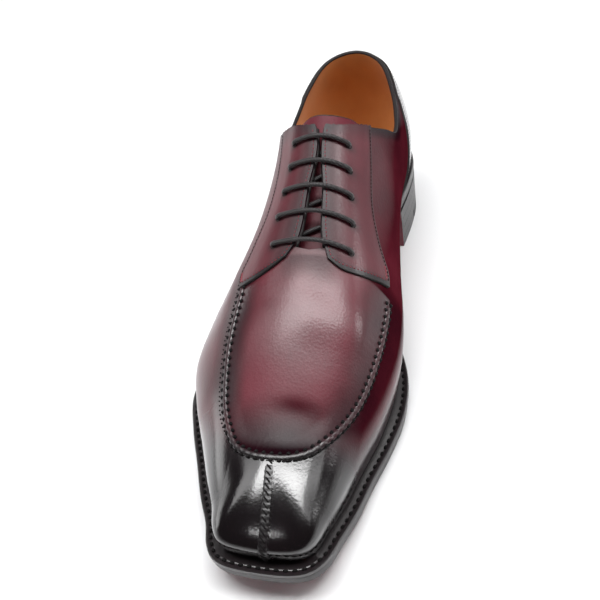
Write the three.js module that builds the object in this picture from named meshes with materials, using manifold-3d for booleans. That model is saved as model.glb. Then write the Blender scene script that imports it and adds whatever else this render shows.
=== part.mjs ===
// Split toe derby for the right foot, empty and laced, standing on its sole.
// Millimetres, +Z up. The toe points along -Y and the inner side of the foot is +X.
// The origin is the centre of the heel's tread, on the floor.
import * as THREE from 'three';
import { mergeVertices } from 'three/addons/utils/BufferGeometryUtils.js';
import Module from 'manifold-3d';

const wasm = await Module();
wasm.setup();

// Driving sizes of the last. The feather line is the edge where the upper turns under the foot.
const LAST_LENGTH = 292; // along the feather line's plan, heel's back to toe's tip
const BALL_WIDTH = 99.4; // across the feather line at the ball
const INSTEP_HEIGHT = 85; // crest of the instep over the feather line, at the top of the facings
const BACK_HEIGHT = 60; // back of the collar over the feather line
const TOE_SPRING = 14; // rise of the outsole at the toe's tip

// Bottom of the shoe.
const HEEL_HEIGHT = 27;
const HEEL_LENGTH = 72; // feather line's back to the heel breast
const BREAST_HOLLOW = 2.5; // depth of the breast's curve
const HEEL_TAPER = 0.8; // each side draws in by this from the seat to the floor
const TOP_PIECE = 6;
const RUBBER_LENGTH = 44; // rear part of the top piece, which is rubber
const LIFTS = 3;
const SOLE_THICKNESS = 5;
const WELT_THICKNESS = 3;
const WELT_MARGIN = 6; // welt beyond the feather line at the ball
const EDGE_STEP = 0.4; // outsole inside the welt's edge
const INSOLE_RISE = 1.5; // footbed over the feather line
const WAIST_BEVEL = 2.4; // outsole's tread inside its upper edge at the waist

// Upper.
const WALL = 2.2;
const OVERLAY = 1.5; // facings and counter
const SEAM_WIDTH = 4.6;
const SEAM_HEIGHT = 1.2;
const TONGUE_THICKNESS = 2;
const LACE_DIAMETER = 2.2;
const LACE_CLEARANCE = 0.75; // round the lace in its eyelets
const GAP = 0.3; // clearance between curved pieces

// Fineness of the lofts, outlines and cords.
const STEPS_PER_SECTION = 2;
const LOWER_RINGS = 3;
const UPPER_RINGS = 7;
const BREAST_POINTS = 8;
const COLLAR_STEPS = 24;
const THROAT_STEPS = 8;
const FACING_STEPS = 20;
const APRON_STEPS = 24;
const COUNTER_STEPS = 14;
const TONGUE_STEPS = 18;
const HOLE_SIDES = 8;
const BAR_POINTS = 8;
const BAR_STEPS = 18;
const RUN_STEPS = 5;
const LACE_ARCS = 3; // half of the lace's sides
const WELD = 1e-4; // points nearer than this are one

// One row per section of the last, round its outline from the heel's back to the toe's tip.
// along and spine are shares of LAST_LENGTH, measured from the heel's back.
// inner, outer and the two bulges are shares of BALL_WIDTH, girth is a share of INSTEP_HEIGHT,
// the margins are shares of WELT_MARGIN and bevel of WAIST_BEVEL.
// flank and crest round the wall above the girth.
const SECTIONS = [
  { name: 'back', along: 0, inner: 0, outer: 0, innerBulge: 0.03, outerBulge: 0.03,
    girth: 0.305, spine: 0.11, innerMargin: 0.5, outerMargin: 0.5, bevel: 0.1, flank: 0.3, crest: 0.45 },
  { name: 'back turn', along: 0.01, inner: 0.124, outer: 0.128, innerBulge: 0.03, outerBulge: 0.03,
    girth: 0.294, spine: 0.116, innerMargin: 0.5, outerMargin: 0.5, bevel: 0.1, flank: 0.2, crest: 0.45 },
  { name: 'heel turn', along: 0.041, inner: 0.232, outer: 0.232, innerBulge: 0.025, outerBulge: 0.025,
    girth: 0.27, spine: 0.13, innerMargin: 0.5, outerMargin: 0.5, bevel: 0.1, flank: 0.12, crest: 0.45 },
  { name: 'heel', along: 0.103, inner: 0.304, outer: 0.292, innerBulge: 0.02, outerBulge: 0.02,
    girth: 0.235, spine: 0.158, innerMargin: 0.5, outerMargin: 0.5, bevel: 0.1, flank: 0.12, crest: 0.45 },
  { name: 'seat', along: 0.171, inner: 0.316, outer: 0.3, innerBulge: 0.033, outerBulge: 0.016,
    girth: 0.235, spine: 0.199, innerMargin: 0.42, outerMargin: 0.42, bevel: 0.15, flank: 0.33, crest: 0.45 },
  { name: 'breast', along: 0.257, inner: 0.298, outer: 0.295, innerBulge: 0.07, outerBulge: 0.024,
    girth: 0.259, spine: 0.267, innerMargin: 0.3, outerMargin: 0.3, bevel: 0.5, flank: 0.5, crest: 0.46 },
  { name: 'waist', along: 0.36, inner: 0.274, outer: 0.297, innerBulge: 0.11, outerBulge: 0.032,
    girth: 0.294, spine: 0.36, innerMargin: 0.17, outerMargin: 0.25, bevel: 1, flank: 0.53, crest: 0.46 },
  { name: 'arch', along: 0.462, inner: 0.314, outer: 0.345, innerBulge: 0.11, outerBulge: 0.032,
    girth: 0.283, spine: 0.462, innerMargin: 0.25, outerMargin: 0.42, bevel: 1, flank: 0.54, crest: 0.45 },
  { name: 'joint', along: 0.548, inner: 0.39, outer: 0.442, innerBulge: 0.08, outerBulge: 0.024,
    girth: 0.235, spine: 0.548, innerMargin: 0.7, outerMargin: 0.95, bevel: 0.6, flank: 0.54, crest: 0.44 },
  { name: 'ball back', along: 0.616, inner: 0.438, outer: 0.513, innerBulge: 0.05, outerBulge: 0.014,
    girth: 0.2, spine: 0.616, innerMargin: 1.08, outerMargin: 1.25, bevel: 0.3, flank: 0.54, crest: 0.43 },
  { name: 'ball', along: 0.685, inner: 0.45, outer: 0.532, innerBulge: 0.03, outerBulge: 0.014,
    girth: 0.176, spine: 0.685, innerMargin: 1.15, outerMargin: 1.35, bevel: 0.15, flank: 0.55, crest: 0.42 },
  { name: 'ball front', along: 0.753, inner: 0.424, outer: 0.466, innerBulge: 0.025, outerBulge: 0.018,
    girth: 0.165, spine: 0.747, innerMargin: 1.05, outerMargin: 1.35, bevel: 0.12, flank: 0.58, crest: 0.42 },
  { name: 'toes', along: 0.822, inner: 0.377, outer: 0.372, innerBulge: 0.02, outerBulge: 0.018,
    girth: 0.153, spine: 0.798, innerMargin: 1, outerMargin: 1.35, bevel: 0.1, flank: 0.6, crest: 0.42 },
  { name: 'toe box', along: 0.884, inner: 0.342, outer: 0.29, innerBulge: 0.02, outerBulge: 0.018,
    girth: 0.141, spine: 0.836, innerMargin: 1, outerMargin: 1.3, bevel: 0.1, flank: 0.62, crest: 0.45 },
  { name: 'toe side', along: 0.935, inner: 0.303, outer: 0.212, innerBulge: 0.02, outerBulge: 0.018,
    girth: 0.129, spine: 0.86, innerMargin: 1, outerMargin: 1.2, bevel: 0.1, flank: 0.64, crest: 0.5 },
  { name: 'toe turn', along: 0.976, inner: 0.268, outer: 0.163, innerBulge: 0.02, outerBulge: 0.018,
    girth: 0.118, spine: 0.873, innerMargin: 1.05, outerMargin: 1.15, bevel: 0.1, flank: 0.66, crest: 0.5 },
  { name: 'toe corner', along: 0.995, inner: 0.203, outer: 0.103, innerBulge: 0.015, outerBulge: 0.015,
    girth: 0.106, spine: 0.878, innerMargin: 1.15, outerMargin: 1.15, bevel: 0.1, flank: 0.66, crest: 0.5 },
  { name: 'tip', along: 1, inner: 0.05, outer: -0.05, innerBulge: 0.015, outerBulge: 0.015,
    girth: 0.106, spine: 0.88, innerMargin: 1.15, outerMargin: 1.15, bevel: 0.1, flank: 0.66, crest: 0.5 },
];

// Crest line of the last: height over the feather line, and its shift to the inner side.
const CREST = [
  { along: 0, height: 1.127, shift: 0 },
  { along: 0.103, height: 1.127, shift: 0 },
  { along: 0.291, height: 1.087, shift: 0.018 },
  { along: 0.394, height: 0.987, shift: 0.052 },
  { along: 0.479, height: 0.918, shift: 0.063 },
  { along: 0.548, height: 0.846, shift: 0.068 },
  { along: 0.616, height: 0.768, shift: 0.07 },
  { along: 0.685, height: 0.673, shift: 0.07 },
  { along: 0.753, height: 0.568, shift: 0.067 },
  { along: 0.822, height: 0.469, shift: 0.058 },
  { along: 0.89, height: 0.371, shift: 0.049 },
  { along: 0.959, height: 0.269, shift: 0.049 },
  { along: 1.027, height: 0.146, shift: 0.049 },
];

// Underside of the outsole: heel is a share of HEEL_HEIGHT and spring a share of TOE_SPRING.
const PROFILE = [
  { along: -0.05, heel: 1, spring: 0 },
  { along: 0.12, heel: 1, spring: 0 },
  { along: 0.267, heel: 1, spring: 0 },
  { along: 0.325, heel: 0.76, spring: 0 },
  { along: 0.411, heel: 0.459, spring: 0 },
  { along: 0.514, heel: 0.185, spring: 0 },
  { along: 0.589, heel: 0.04, spring: 0 },
  { along: 0.64, heel: 0, spring: 0 },
  { along: 0.736, heel: 0, spring: 0 },
  { along: 0.805, heel: 0, spring: 0.057 },
  { along: 0.873, heel: 0, spring: 0.2 },
  { along: 0.942, heel: 0, spring: 0.443 },
  { along: 1.01, heel: 0, spring: 0.8 },
  { along: 1.045, heel: 0, spring: 1 },
];

// Collar seen from the side: back is a share of BACK_HEIGHT and front of INSTEP_HEIGHT.
const COLLAR = [
  { along: -0.02, back: 1.007, front: 0 },
  { along: 0.027, back: 0.99, front: 0 },
  { along: 0.103, back: 0.873, front: 0 },
  { along: 0.171, back: 0.773, front: 0 },
  { along: 0.212, back: 0.447, front: 0.21 },
  { along: 0.233, back: 0.268, front: 0.351 },
  { along: 0.257, back: 0.127, front: 0.506 },
  { along: 0.301, back: 0, front: 0.76 },
  { along: 0.322, back: 0, front: 0.859 },
  { along: 0.342, back: 0, front: 0.932 },
  { along: 0.354, back: 0, front: 0.972 },
  { along: 0.363, back: 0, front: 1.006 },
  { along: 0.377, back: 0, front: 1.09 },
];

// Throat between the facings: half is its half width as a share of BALL_WIDTH.
const THROAT = [
  { along: 0.326, half: 0.06 },
  { along: 0.352, half: 0.05 },
  { along: 0.365, half: 0.021 },
  { along: 0.38, half: 0.012 },
  { along: 0.468, half: 0.034 },
  { along: 0.545, half: 0.057 },
  { along: 0.562, half: 0.072 },
];

// Outline of each facing from the throat's foot round to the collar, off the crest line.
const FACING_INNER = [
  { along: 0.573, off: 0.094 },
  { along: 0.581, off: 0.16 },
  { along: 0.571, off: 0.265 },
  { along: 0.553, off: 0.345 },
  { along: 0.527, off: 0.335 },
  { along: 0.49, off: 0.29 },
  { along: 0.45, off: 0.255 },
  { along: 0.41, off: 0.24 },
  { along: 0.32, off: 0.232 },
  { along: 0.28, off: 0.232 },
];
const FACING_OUTER = [
  { along: 0.573, off: 0.115 },
  { along: 0.586, off: 0.18 },
  { along: 0.597, off: 0.26 },
  { along: 0.602, off: 0.35 },
  { along: 0.572, off: 0.375 },
  { along: 0.525, off: 0.325 },
  { along: 0.475, off: 0.268 },
  { along: 0.42, off: 0.245 },
  { along: 0.33, off: 0.235 },
  { along: 0.28, off: 0.235 },
];

// Eyelets of each facing and the shares of LAST_LENGTH and BALL_WIDTH where they lie.
const EYELETS = [
  { along: 0.551, off: 0.186 },
  { along: 0.506, off: 0.178 },
  { along: 0.465, off: 0.16 },
  { along: 0.424, off: 0.142 },
  { along: 0.384, off: 0.131 },
];

// Raised seam round the apron, off the crest line to each side, and the split seam down the toe.
const APRON = [
  { along: 0.572, inner: 0.358, outer: 0.355 },
  { along: 0.61, inner: 0.36, outer: 0.348 },
  { along: 0.651, inner: 0.355, outer: 0.351 },
  { along: 0.702, inner: 0.34, outer: 0.351 },
  { along: 0.753, inner: 0.314, outer: 0.334 },
  { along: 0.795, inner: 0.276, outer: 0.303 },
  { along: 0.836, inner: 0.217, outer: 0.245 },
  { along: 0.863, inner: 0.158, outer: 0.186 },
  { along: 0.877, inner: 0.085, outer: 0.105 },
  { along: 0.881, inner: 0, outer: 0 },
];
const SPLIT = [
  { along: 0.878, off: 0 },
  { along: 0.94, off: 0.018 },
  { along: 0.98, off: 0.027 },
  { along: 1.03, off: 0.033 },
];

// Tongue's half width off the crest line.
const TONGUE = [
  { along: 0.335, half: 0.02 },
  { along: 0.333, half: 0.08 },
  { along: 0.326, half: 0.15 },
  { along: 0.318, half: 0.205 },
  { along: 0.335, half: 0.235 },
  { along: 0.45, half: 0.24 },
  { along: 0.55, half: 0.23 },
  { along: 0.63, half: 0.17 },
  { along: 0.64, half: 0.02 },
];

// The tongue's room for the lace under the wall: all of it under the facings, none at the foot.
const SINK = [
  { along: 0, room: 1 },
  { along: 0.54, room: 1 },
  { along: 0.6, room: 0.33 },
  { along: 0.64, room: 0 },
  { along: 1, room: 0 },
];

// Counter's front edge, seen from the side, with its height as a share of INSTEP_HEIGHT.
const COUNTER = [
  { along: 0.262, height: -0.104 },
  { along: 0.25, height: 0.041 },
  { along: 0.2, height: 0.145 },
  { along: 0.152, height: 0.331 },
  { along: 0.137, height: 0.456 },
  { along: 0.122, height: 0.533 },
];
const COUNTER_DROP = 3.5; // counter's top edge under the collar's

const LEATHER = new THREE.Color('#4d0f16');
const INK = new THREE.Color('#120a0b');

// Smooth curve through a column of a table, with rows in order of along.
function column(table, name, scale, level = false) {
  const xs = table.map((row) => row.along * LAST_LENGTH);
  const ys = table.map((row) => row[name] * scale);
  return smooth(xs, ys, level);
}

// A level curve stays flat between equal values and never overshoots one.
function smooth(xs, ys, level = false) {
  const last = xs.length - 1;
  const step = [];
  const slope = [];
  for (let i = 0; i < last; i += 1) {
    step.push(xs[i + 1] - xs[i]);
    slope.push((ys[i + 1] - ys[i]) / step[i]);
  }
  const tangent = xs.map((_, i) => {
    if (i === 0) return slope[0];
    if (i === last) return slope[last - 1];
    if (level && slope[i] * slope[i - 1] <= 0) return 0;
    return (slope[i - 1] * step[i] + slope[i] * step[i - 1]) / (step[i - 1] + step[i]);
  });
  return (x) => {
    let i = 0;
    while (i < last - 1 && x >= xs[i + 1]) i += 1;
    const t = (x - xs[i]) / step[i];
    const t2 = t * t;
    const t3 = t2 * t;
    return (2 * t3 - 3 * t2 + 1) * ys[i] + (t3 - 2 * t2 + t) * step[i] * tangent[i]
      + (3 * t2 - 2 * t3) * ys[i + 1] + (t3 - t2) * step[i] * tangent[i + 1];
  };
}

// Column of SECTIONS by place in the table, 0 at the heel's back to 1 at the tip.
function section(name, scale) {
  return smooth(SECTIONS.map((_, i) => i / (SECTIONS.length - 1)),
    SECTIONS.map((row) => row[name] * scale));
}

const HEEL_CENTRE = HEEL_LENGTH / 2;
const place = (u, x, z) => new THREE.Vector3(x, HEEL_CENTRE - u, z);

const heelRise = column(PROFILE, 'heel', HEEL_HEIGHT, true);
const springRise = column(PROFILE, 'spring', TOE_SPRING, true);
const clampAlong = (u) => Math.min(Math.max(u, PROFILE[0].along * LAST_LENGTH),
  PROFILE[PROFILE.length - 1].along * LAST_LENGTH);
const underside = (u) => heelRise(clampAlong(u)) + springRise(clampAlong(u));
const WELT_LEVEL = SOLE_THICKNESS + GAP;
const FEATHER_LEVEL = WELT_LEVEL + WELT_THICKNESS + GAP;
const feather = (u) => underside(u) + FEATHER_LEVEL;

const crestHeight = column(CREST, 'height', INSTEP_HEIGHT);
const crestShift = column(CREST, 'shift', BALL_WIDTH);
const crest = (u) => feather(u) + crestHeight(u);

const alongAt = section('along', LAST_LENGTH);
const halfAt = {
  inner: section('inner', BALL_WIDTH),
  outer: section('outer', -BALL_WIDTH),
};
const bulgeAt = {
  inner: section('innerBulge', BALL_WIDTH),
  outer: section('outerBulge', BALL_WIDTH),
};
const girthAt = section('girth', INSTEP_HEIGHT);
const spineAt = section('spine', LAST_LENGTH);
const marginAt = {
  inner: section('innerMargin', WELT_MARGIN),
  outer: section('outerMargin', WELT_MARGIN),
};
const flankAt = section('flank', 1);
const crestAt = section('crest', 1);

const SIDES = ['inner', 'outer'];
const COLUMNS = (SECTIONS.length - 1) * STEPS_PER_SECTION;
const RINGS = LOWER_RINGS + UPPER_RINGS;

// Point of the feather line moved off it by a distance, in plan.
function outline(side, w, off) {
  const before = Math.max(w - WELD, 0);
  const after = Math.min(w + WELD, 1);
  const du = alongAt(after) - alongAt(before);
  const dx = halfAt[side](after) - halfAt[side](before);
  const away = (side === 'inner' ? 1 : -1) * off / Math.hypot(du, dx);
  return { u: alongAt(w) - dx * away, x: halfAt[side](w) + du * away };
}

// Point of the last's surface: w runs round the outline, ring from the feather line to the crest.
function lastPoint(side, w, ring) {
  const foot = { u: alongAt(w), x: halfAt[side](w) };
  const girth = outline(side, w, bulgeAt[side](w));
  const footLevel = feather(foot.u);
  const girthLevel = footLevel + girthAt(w);
  if (ring < LOWER_RINGS) {
    const left = 1 - ring / LOWER_RINGS;
    return place(girth.u + (foot.u - girth.u) * left ** 2,
      girth.x + (foot.x - girth.x) * left ** 2, girthLevel - girthAt(w) * left);
  }
  const t = (ring - LOWER_RINGS) / UPPER_RINGS;
  const b0 = (1 - t) ** 3;
  const b1 = 3 * (1 - t) ** 2 * t;
  const b2 = 3 * (1 - t) * t ** 2;
  const b3 = t ** 3;
  const out = b0 + b1 + b2 * flankAt(w);
  const spine = { u: spineAt(w), x: crestShift(spineAt(w)) };
  const u = spine.u + (girth.u - spine.u) * out;
  const x = spine.x + (girth.x - spine.x) * out;
  const rise = b1 * crestAt(w) + b2 + b3;
  return place(u, x, girthLevel + (crest(u) - girthLevel) * rise);
}

// The last's surface as one sheet of triangles, open underneath.
function lastSheet() {
  const points = [];
  const index = {};
  const id = (side, c, r) => {
    const shared = c === 0 || c === COLUMNS || r === RINGS;
    return index[`${shared ? 'inner' : side} ${c} ${r}`];
  };
  for (const side of SIDES) {
    for (let c = 0; c <= COLUMNS; c += 1) {
      for (let r = 0; r <= RINGS; r += 1) {
        if (side === 'outer' && (c === 0 || c === COLUMNS || r === RINGS)) continue;
        index[`${side} ${c} ${r}`] = points.length;
        points.push(lastPoint(side, c / COLUMNS, r));
      }
    }
  }
  const faces = [];
  for (const side of SIDES) {
    for (let c = 0; c < COLUMNS; c += 1) {
      for (let r = 0; r < RINGS; r += 1) {
        const a = id(side, c, r);
        const b = id(side, c + 1, r);
        const d = id(side, c, r + 1);
        const e = id(side, c + 1, r + 1);
        const quad = [[a, d, b], [b, d, e]];
        for (const [p, q, s] of quad) {
          if (p !== q && q !== s && s !== p) faces.push(side === 'inner' ? [p, q, s] : [p, s, q]);
        }
      }
    }
  }
  const foot = (side) => Array.from({ length: COLUMNS + 1 }, (_, c) => id(side, c, 0));
  return { points, faces, inner: foot('inner'), outer: foot('outer') };
}

function geometryOf(points, faces) {
  const geometry = new THREE.BufferGeometry();
  geometry.setAttribute('position',
    new THREE.Float32BufferAttribute(points.flatMap((p) => [p.x, p.y, p.z]), 3));
  geometry.setIndex(faces.flat());
  return geometry;
}

const sheet = lastSheet();
const sheetGeometry = geometryOf(sheet.points, sheet.faces);
sheetGeometry.computeVertexNormals();
const sheetNormals = sheet.points.map((_, i) => new THREE.Vector3()
  .fromBufferAttribute(sheetGeometry.attributes.normal, i));

function solid(geometry) {
  const bare = geometry.clone();
  for (const name of Object.keys(bare.attributes)) {
    if (name !== 'position') bare.deleteAttribute(name);
  }
  const merged = mergeVertices(bare, WELD);
  return new wasm.Manifold(new wasm.Mesh({
    numProp: 3,
    vertProperties: merged.attributes.position.array,
    triVerts: new Uint32Array(merged.index.array),
  }));
}

// The last swollen by off, which may vary along the shoe, and carried down by drop.
function lastForm(off, drop = 0) {
  const offAt = typeof off === 'function' ? off : () => off;
  const points = sheet.points.map((p, i) => p.clone()
    .addScaledVector(sheetNormals[i], offAt(HEEL_CENTRE - p.y)));
  const faces = sheet.faces.slice();
  const sole = new Map();
  for (const i of [...sheet.inner, ...sheet.outer]) {
    if (sole.has(i)) continue;
    sole.set(i, points.length);
    const base = sheet.points[i].z;
    points.push(new THREE.Vector3(points[i].x, points[i].y, Math.min(base, points[i].z) - drop));
  }
  for (let c = 0; c < COLUMNS; c += 1) {
    const [a, b] = [sheet.inner[c], sheet.inner[c + 1]];
    const [d, e] = [sheet.outer[c], sheet.outer[c + 1]];
    faces.push([sole.get(a), a, b], [sole.get(a), b, sole.get(b)]);
    faces.push([sole.get(d), e, d], [sole.get(d), sole.get(e), e]);
    const corners = [[a, b, e], [a, e, d]];
    for (const [p, q, s] of corners) {
      if (p !== q && q !== s && s !== p) faces.push([sole.get(p), sole.get(q), sole.get(s)]);
    }
  }
  return solid(geometryOf(points, faces));
}

const REACH = 400; // longer than the shoe each way
const FAR_BACK = -REACH / 4; // well behind the heel

// Level of the wall's widest line at a named section, under which the wall turns in to the foot.
function bulgeLevel(name) {
  const w = SECTIONS.findIndex((row) => row.name === name) / (SECTIONS.length - 1);
  return feather(alongAt(w)) + girthAt(w);
}

// Upright prism over an outline of [u, x] points, from a level up.
function planPrism(outlinePoints, from = -REACH / 2) {
  const shape = new THREE.Shape(outlinePoints.map(([u, x]) => new THREE.Vector2(x, HEEL_CENTRE - u)));
  const prism = new THREE.ExtrudeGeometry(shape, { depth: REACH, bevelEnabled: false });
  return solid(prism.translate(0, 0, from));
}

// Level prism across the shoe over an outline of [u, z] points.
function sidePrism(outlinePoints) {
  const shape = new THREE.Shape(outlinePoints.map(([u, z]) => new THREE.Vector2(HEEL_CENTRE - u, z)));
  const prism = new THREE.ExtrudeGeometry(shape, { depth: REACH, bevelEnabled: false });
  const turn = new THREE.Matrix4().makeBasis(new THREE.Vector3(0, 1, 0),
    new THREE.Vector3(0, 0, 1), new THREE.Vector3(1, 0, 0));
  return solid(prism.applyMatrix4(turn).translate(-REACH / 2, 0, 0));
}

// Points along a smooth line through a few.
function through(points, count, closed = false) {
  const curve = new THREE.CatmullRomCurve3(
    points.map(([a, b]) => new THREE.Vector3(a, b, 0)), closed, 'centripetal');
  return curve.getPoints(count).map((p) => [p.x, p.y]);
}

// Offset from the crest line, to the inner side where side is 1 and the outer side where it is -1.
const offCrest = (side) => ({ along, off }) => {
  const u = along * LAST_LENGTH;
  return [u, crestShift(u) + side * off * BALL_WIDTH];
};

// Plate between two levels over the feather line's plan, each level a function of u.
function plate(offBelow, offAbove, below, above) {
  const points = [];
  const row = (off, level, side, c) => {
    const at = outline(side, c / COLUMNS, off(c / COLUMNS, side));
    return points.push(place(at.u, at.x, level(at.u))) - 1;
  };
  const rim = (off, level) => {
    const inner = [];
    const outer = [];
    for (let c = 0; c <= COLUMNS; c += 1) {
      inner.push(row(off, level, 'inner', c));
      outer.push(c === 0 || c === COLUMNS ? inner[c] : row(off, level, 'outer', c));
    }
    return { inner, outer };
  };
  const low = rim(offBelow, below);
  const high = rim(offAbove, above);
  const faces = [];
  const face = (p, q, s) => {
    if (p !== q && q !== s && s !== p) faces.push([p, q, s]);
  };
  for (let c = 0; c < COLUMNS; c += 1) {
    face(low.inner[c], low.inner[c + 1], low.outer[c + 1]);
    face(low.inner[c], low.outer[c + 1], low.outer[c]);
    face(high.inner[c], high.outer[c + 1], high.inner[c + 1]);
    face(high.inner[c], high.outer[c], high.outer[c + 1]);
    face(low.inner[c], high.inner[c + 1], low.inner[c + 1]);
    face(low.inner[c], high.inner[c], high.inner[c + 1]);
    face(low.outer[c], low.outer[c + 1], high.outer[c + 1]);
    face(low.outer[c], high.outer[c + 1], high.outer[c]);
  }
  return solid(geometryOf(points, faces));
}

// Outsole, welt and insole.
const weltEdge = (w, side) => marginAt[side](w);
const soleEdge = (w, side) => marginAt[side](w) - EDGE_STEP;
const bevelAt = section('bevel', WAIST_BEVEL);
const treadEdge = (w, side) => soleEdge(w, side) - bevelAt(w);
const outsole = plate(treadEdge, soleEdge, underside, (u) => underside(u) + SOLE_THICKNESS);
const weltDisc = plate(weltEdge, weltEdge, (u) => underside(u) + WELT_LEVEL,
  (u) => underside(u) + WELT_LEVEL + WELT_THICKNESS);
const weltHole = plate(() => -WALL, () => -WALL, underside, (u) => feather(u) + WELT_THICKNESS);
const welt = weltDisc.subtract(weltHole);
const insole = plate(() => -WALL - GAP, () => -WALL - GAP, (u) => underside(u) + WELT_LEVEL,
  (u) => feather(u) + INSOLE_RISE);

// Everything under the feather line's level, wider than the shoe: the upper's pieces end on it.
const SKIRT = 20;
const groundwork = plate(() => SKIRT, () => SKIRT, (u) => underside(u) - SKIRT, feather);

// Heel block: rings of the seat's outline closed by the hollow breast, drawn in towards the floor.
function heelRing(level) {
  const taper = HEEL_TAPER * (1 - level / HEEL_HEIGHT);
  const run = { inner: [], outer: [] };
  for (const side of SIDES) {
    for (let c = 0; c <= COLUMNS; c += 1) {
      const at = outline(side, c / COLUMNS, soleEdge(c / COLUMNS, side) - taper);
      if (at.u >= HEEL_LENGTH) {
        const back = run[side][run[side].length - 1];
        const t = (HEEL_LENGTH - back[0]) / (at.u - back[0]);
        run[side].push([HEEL_LENGTH, back[1] + (at.x - back[1]) * t]);
        break;
      }
      run[side].push([at.u, at.x]);
    }
  }
  const [inner, outer] = [run.inner, run.outer];
  const from = inner[inner.length - 1][1];
  const to = outer[outer.length - 1][1];
  const breast = [];
  for (let i = 1; i < BREAST_POINTS; i += 1) {
    const t = i / BREAST_POINTS;
    const hollow = BREAST_HOLLOW * (1 - (2 * t - 1) ** 2);
    breast.push([HEEL_LENGTH - hollow, from + (to - from) * t]);
  }
  return [...inner, ...breast, ...outer.slice(1).reverse()].map(([u, x]) => place(u, x, level));
}

function heelSlice(below, above) {
  const low = heelRing(below);
  const high = heelRing(above);
  const count = low.length;
  const faces = [];
  const flat = low.map((p) => new THREE.Vector2(p.x, p.y));
  const caps = THREE.ShapeUtils.triangulateShape(flat, []);
  const turned = THREE.ShapeUtils.area(flat) > 0;
  for (const [a, b, c] of caps) faces.push([a + count, b + count, c + count], [a, c, b]);
  for (let i = 0; i < count; i += 1) {
    const j = (i + 1) % count;
    const wall = [[i, j, j + count], [i, j + count, i + count]];
    for (const [a, b, c] of wall) faces.push(turned ? [a, b, c] : [a, c, b]);
  }
  return solid(geometryOf([...low, ...high], faces));
}

const topPiece = heelSlice(0, TOP_PIECE);
const rubberReach = planPrism([[FAR_BACK, -REACH], [RUBBER_LENGTH, -REACH],
  [RUBBER_LENGTH, REACH], [FAR_BACK, REACH]]);
const heelRubber = topPiece.intersect(rubberReach);
const heelToplift = topPiece.subtract(rubberReach);
const LIFT = (HEEL_HEIGHT - TOP_PIECE) / LIFTS;
const lifts = Array.from({ length: LIFTS }, (_, i) => heelSlice(TOP_PIECE + i * LIFT,
  i === LIFTS - 1 ? HEEL_HEIGHT : TOP_PIECE + (i + 1) * LIFT));

// Collar's cut, above the topline and behind the top of the facings.
const collarBack = column(COLLAR, 'back', BACK_HEIGHT);
const collarFront = column(COLLAR, 'front', INSTEP_HEIGHT);
const topline = (u) => feather(u) + collarBack(u) + collarFront(u);
const COLLAR_FROM = COLLAR[0].along * LAST_LENGTH;
const COLLAR_TO = COLLAR[COLLAR.length - 1].along * LAST_LENGTH;
function collarCut(drop) {
  const edge = [];
  for (let i = 0; i <= COLLAR_STEPS; i += 1) {
    const u = COLLAR_FROM + (COLLAR_TO - COLLAR_FROM) * i / COLLAR_STEPS;
    edge.push([u, topline(u) - drop]);
  }
  return sidePrism([[FAR_BACK, edge[0][1]], ...edge, [COLLAR_TO, REACH], [FAR_BACK, REACH]]);
}
const collar = collarCut(0);

// Throat's cut between the facings.
const throatEdge = (side) => THROAT.map(({ along, half }) => offCrest(side)({ along, off: half }));
const throat = planPrism([...through(throatEdge(1), THROAT_STEPS),
  ...through(throatEdge(-1), THROAT_STEPS).reverse()]);

// Plan of a facing, swollen by grow at its front and outer edges.
function facingArea(side, table, grow = 0) {
  const around = table.map(({ along, off }) => offCrest(side)({
    along: along + grow / LAST_LENGTH, off: off + grow / BALL_WIDTH,
  }));
  return planPrism([...through(throatEdge(side), THROAT_STEPS), ...through(around, FACING_STEPS)],
    bulgeLevel('waist'));
}

// Raised seams: strips of a swollen last over a band of the plan.
const apronLine = through([
  ...APRON.slice(0, -1).map(({ along, inner }) => offCrest(1)({ along, off: inner })),
  ...APRON.map(({ along, outer }) => offCrest(-1)({ along, off: outer })).reverse(),
], APRON_STEPS);
const splitLine = SPLIT.map(offCrest(1));
function band(line, width, from) {
  const left = [];
  const right = [];
  line.forEach((point, i) => {
    const a = line[Math.max(i - 1, 0)];
    const b = line[Math.min(i + 1, line.length - 1)];
    const length = Math.hypot(b[0] - a[0], b[1] - a[1]);
    const n = [-(b[1] - a[1]) / length * width / 2, (b[0] - a[0]) / length * width / 2];
    left.push([point[0] + n[0], point[1] + n[1]]);
    right.push([point[0] - n[0], point[1] - n[1]]);
  });
  return planPrism([...left, ...right.reverse()], from);
}
const FOOT_DROP = WELT_THICKNESS; // wall drawn down by this, then trimmed on the groundwork
const shell = (outer, inner) => lastForm(outer, FOOT_DROP).subtract(lastForm(inner, SKIRT))
  .subtract(groundwork);
const wall = shell(0, -WALL);
const SEAM_ROOT = WALL / 2;
const seamShell = shell(SEAM_HEIGHT, -SEAM_ROOT);
const seamArea = band(apronLine, SEAM_WIDTH, bulgeLevel('joint')).add(band(splitLine, SEAM_WIDTH));
const seams = seamShell.intersect(seamArea).subtract(facingArea(1, FACING_INNER, GAP))
  .subtract(facingArea(-1, FACING_OUTER, GAP));

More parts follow.
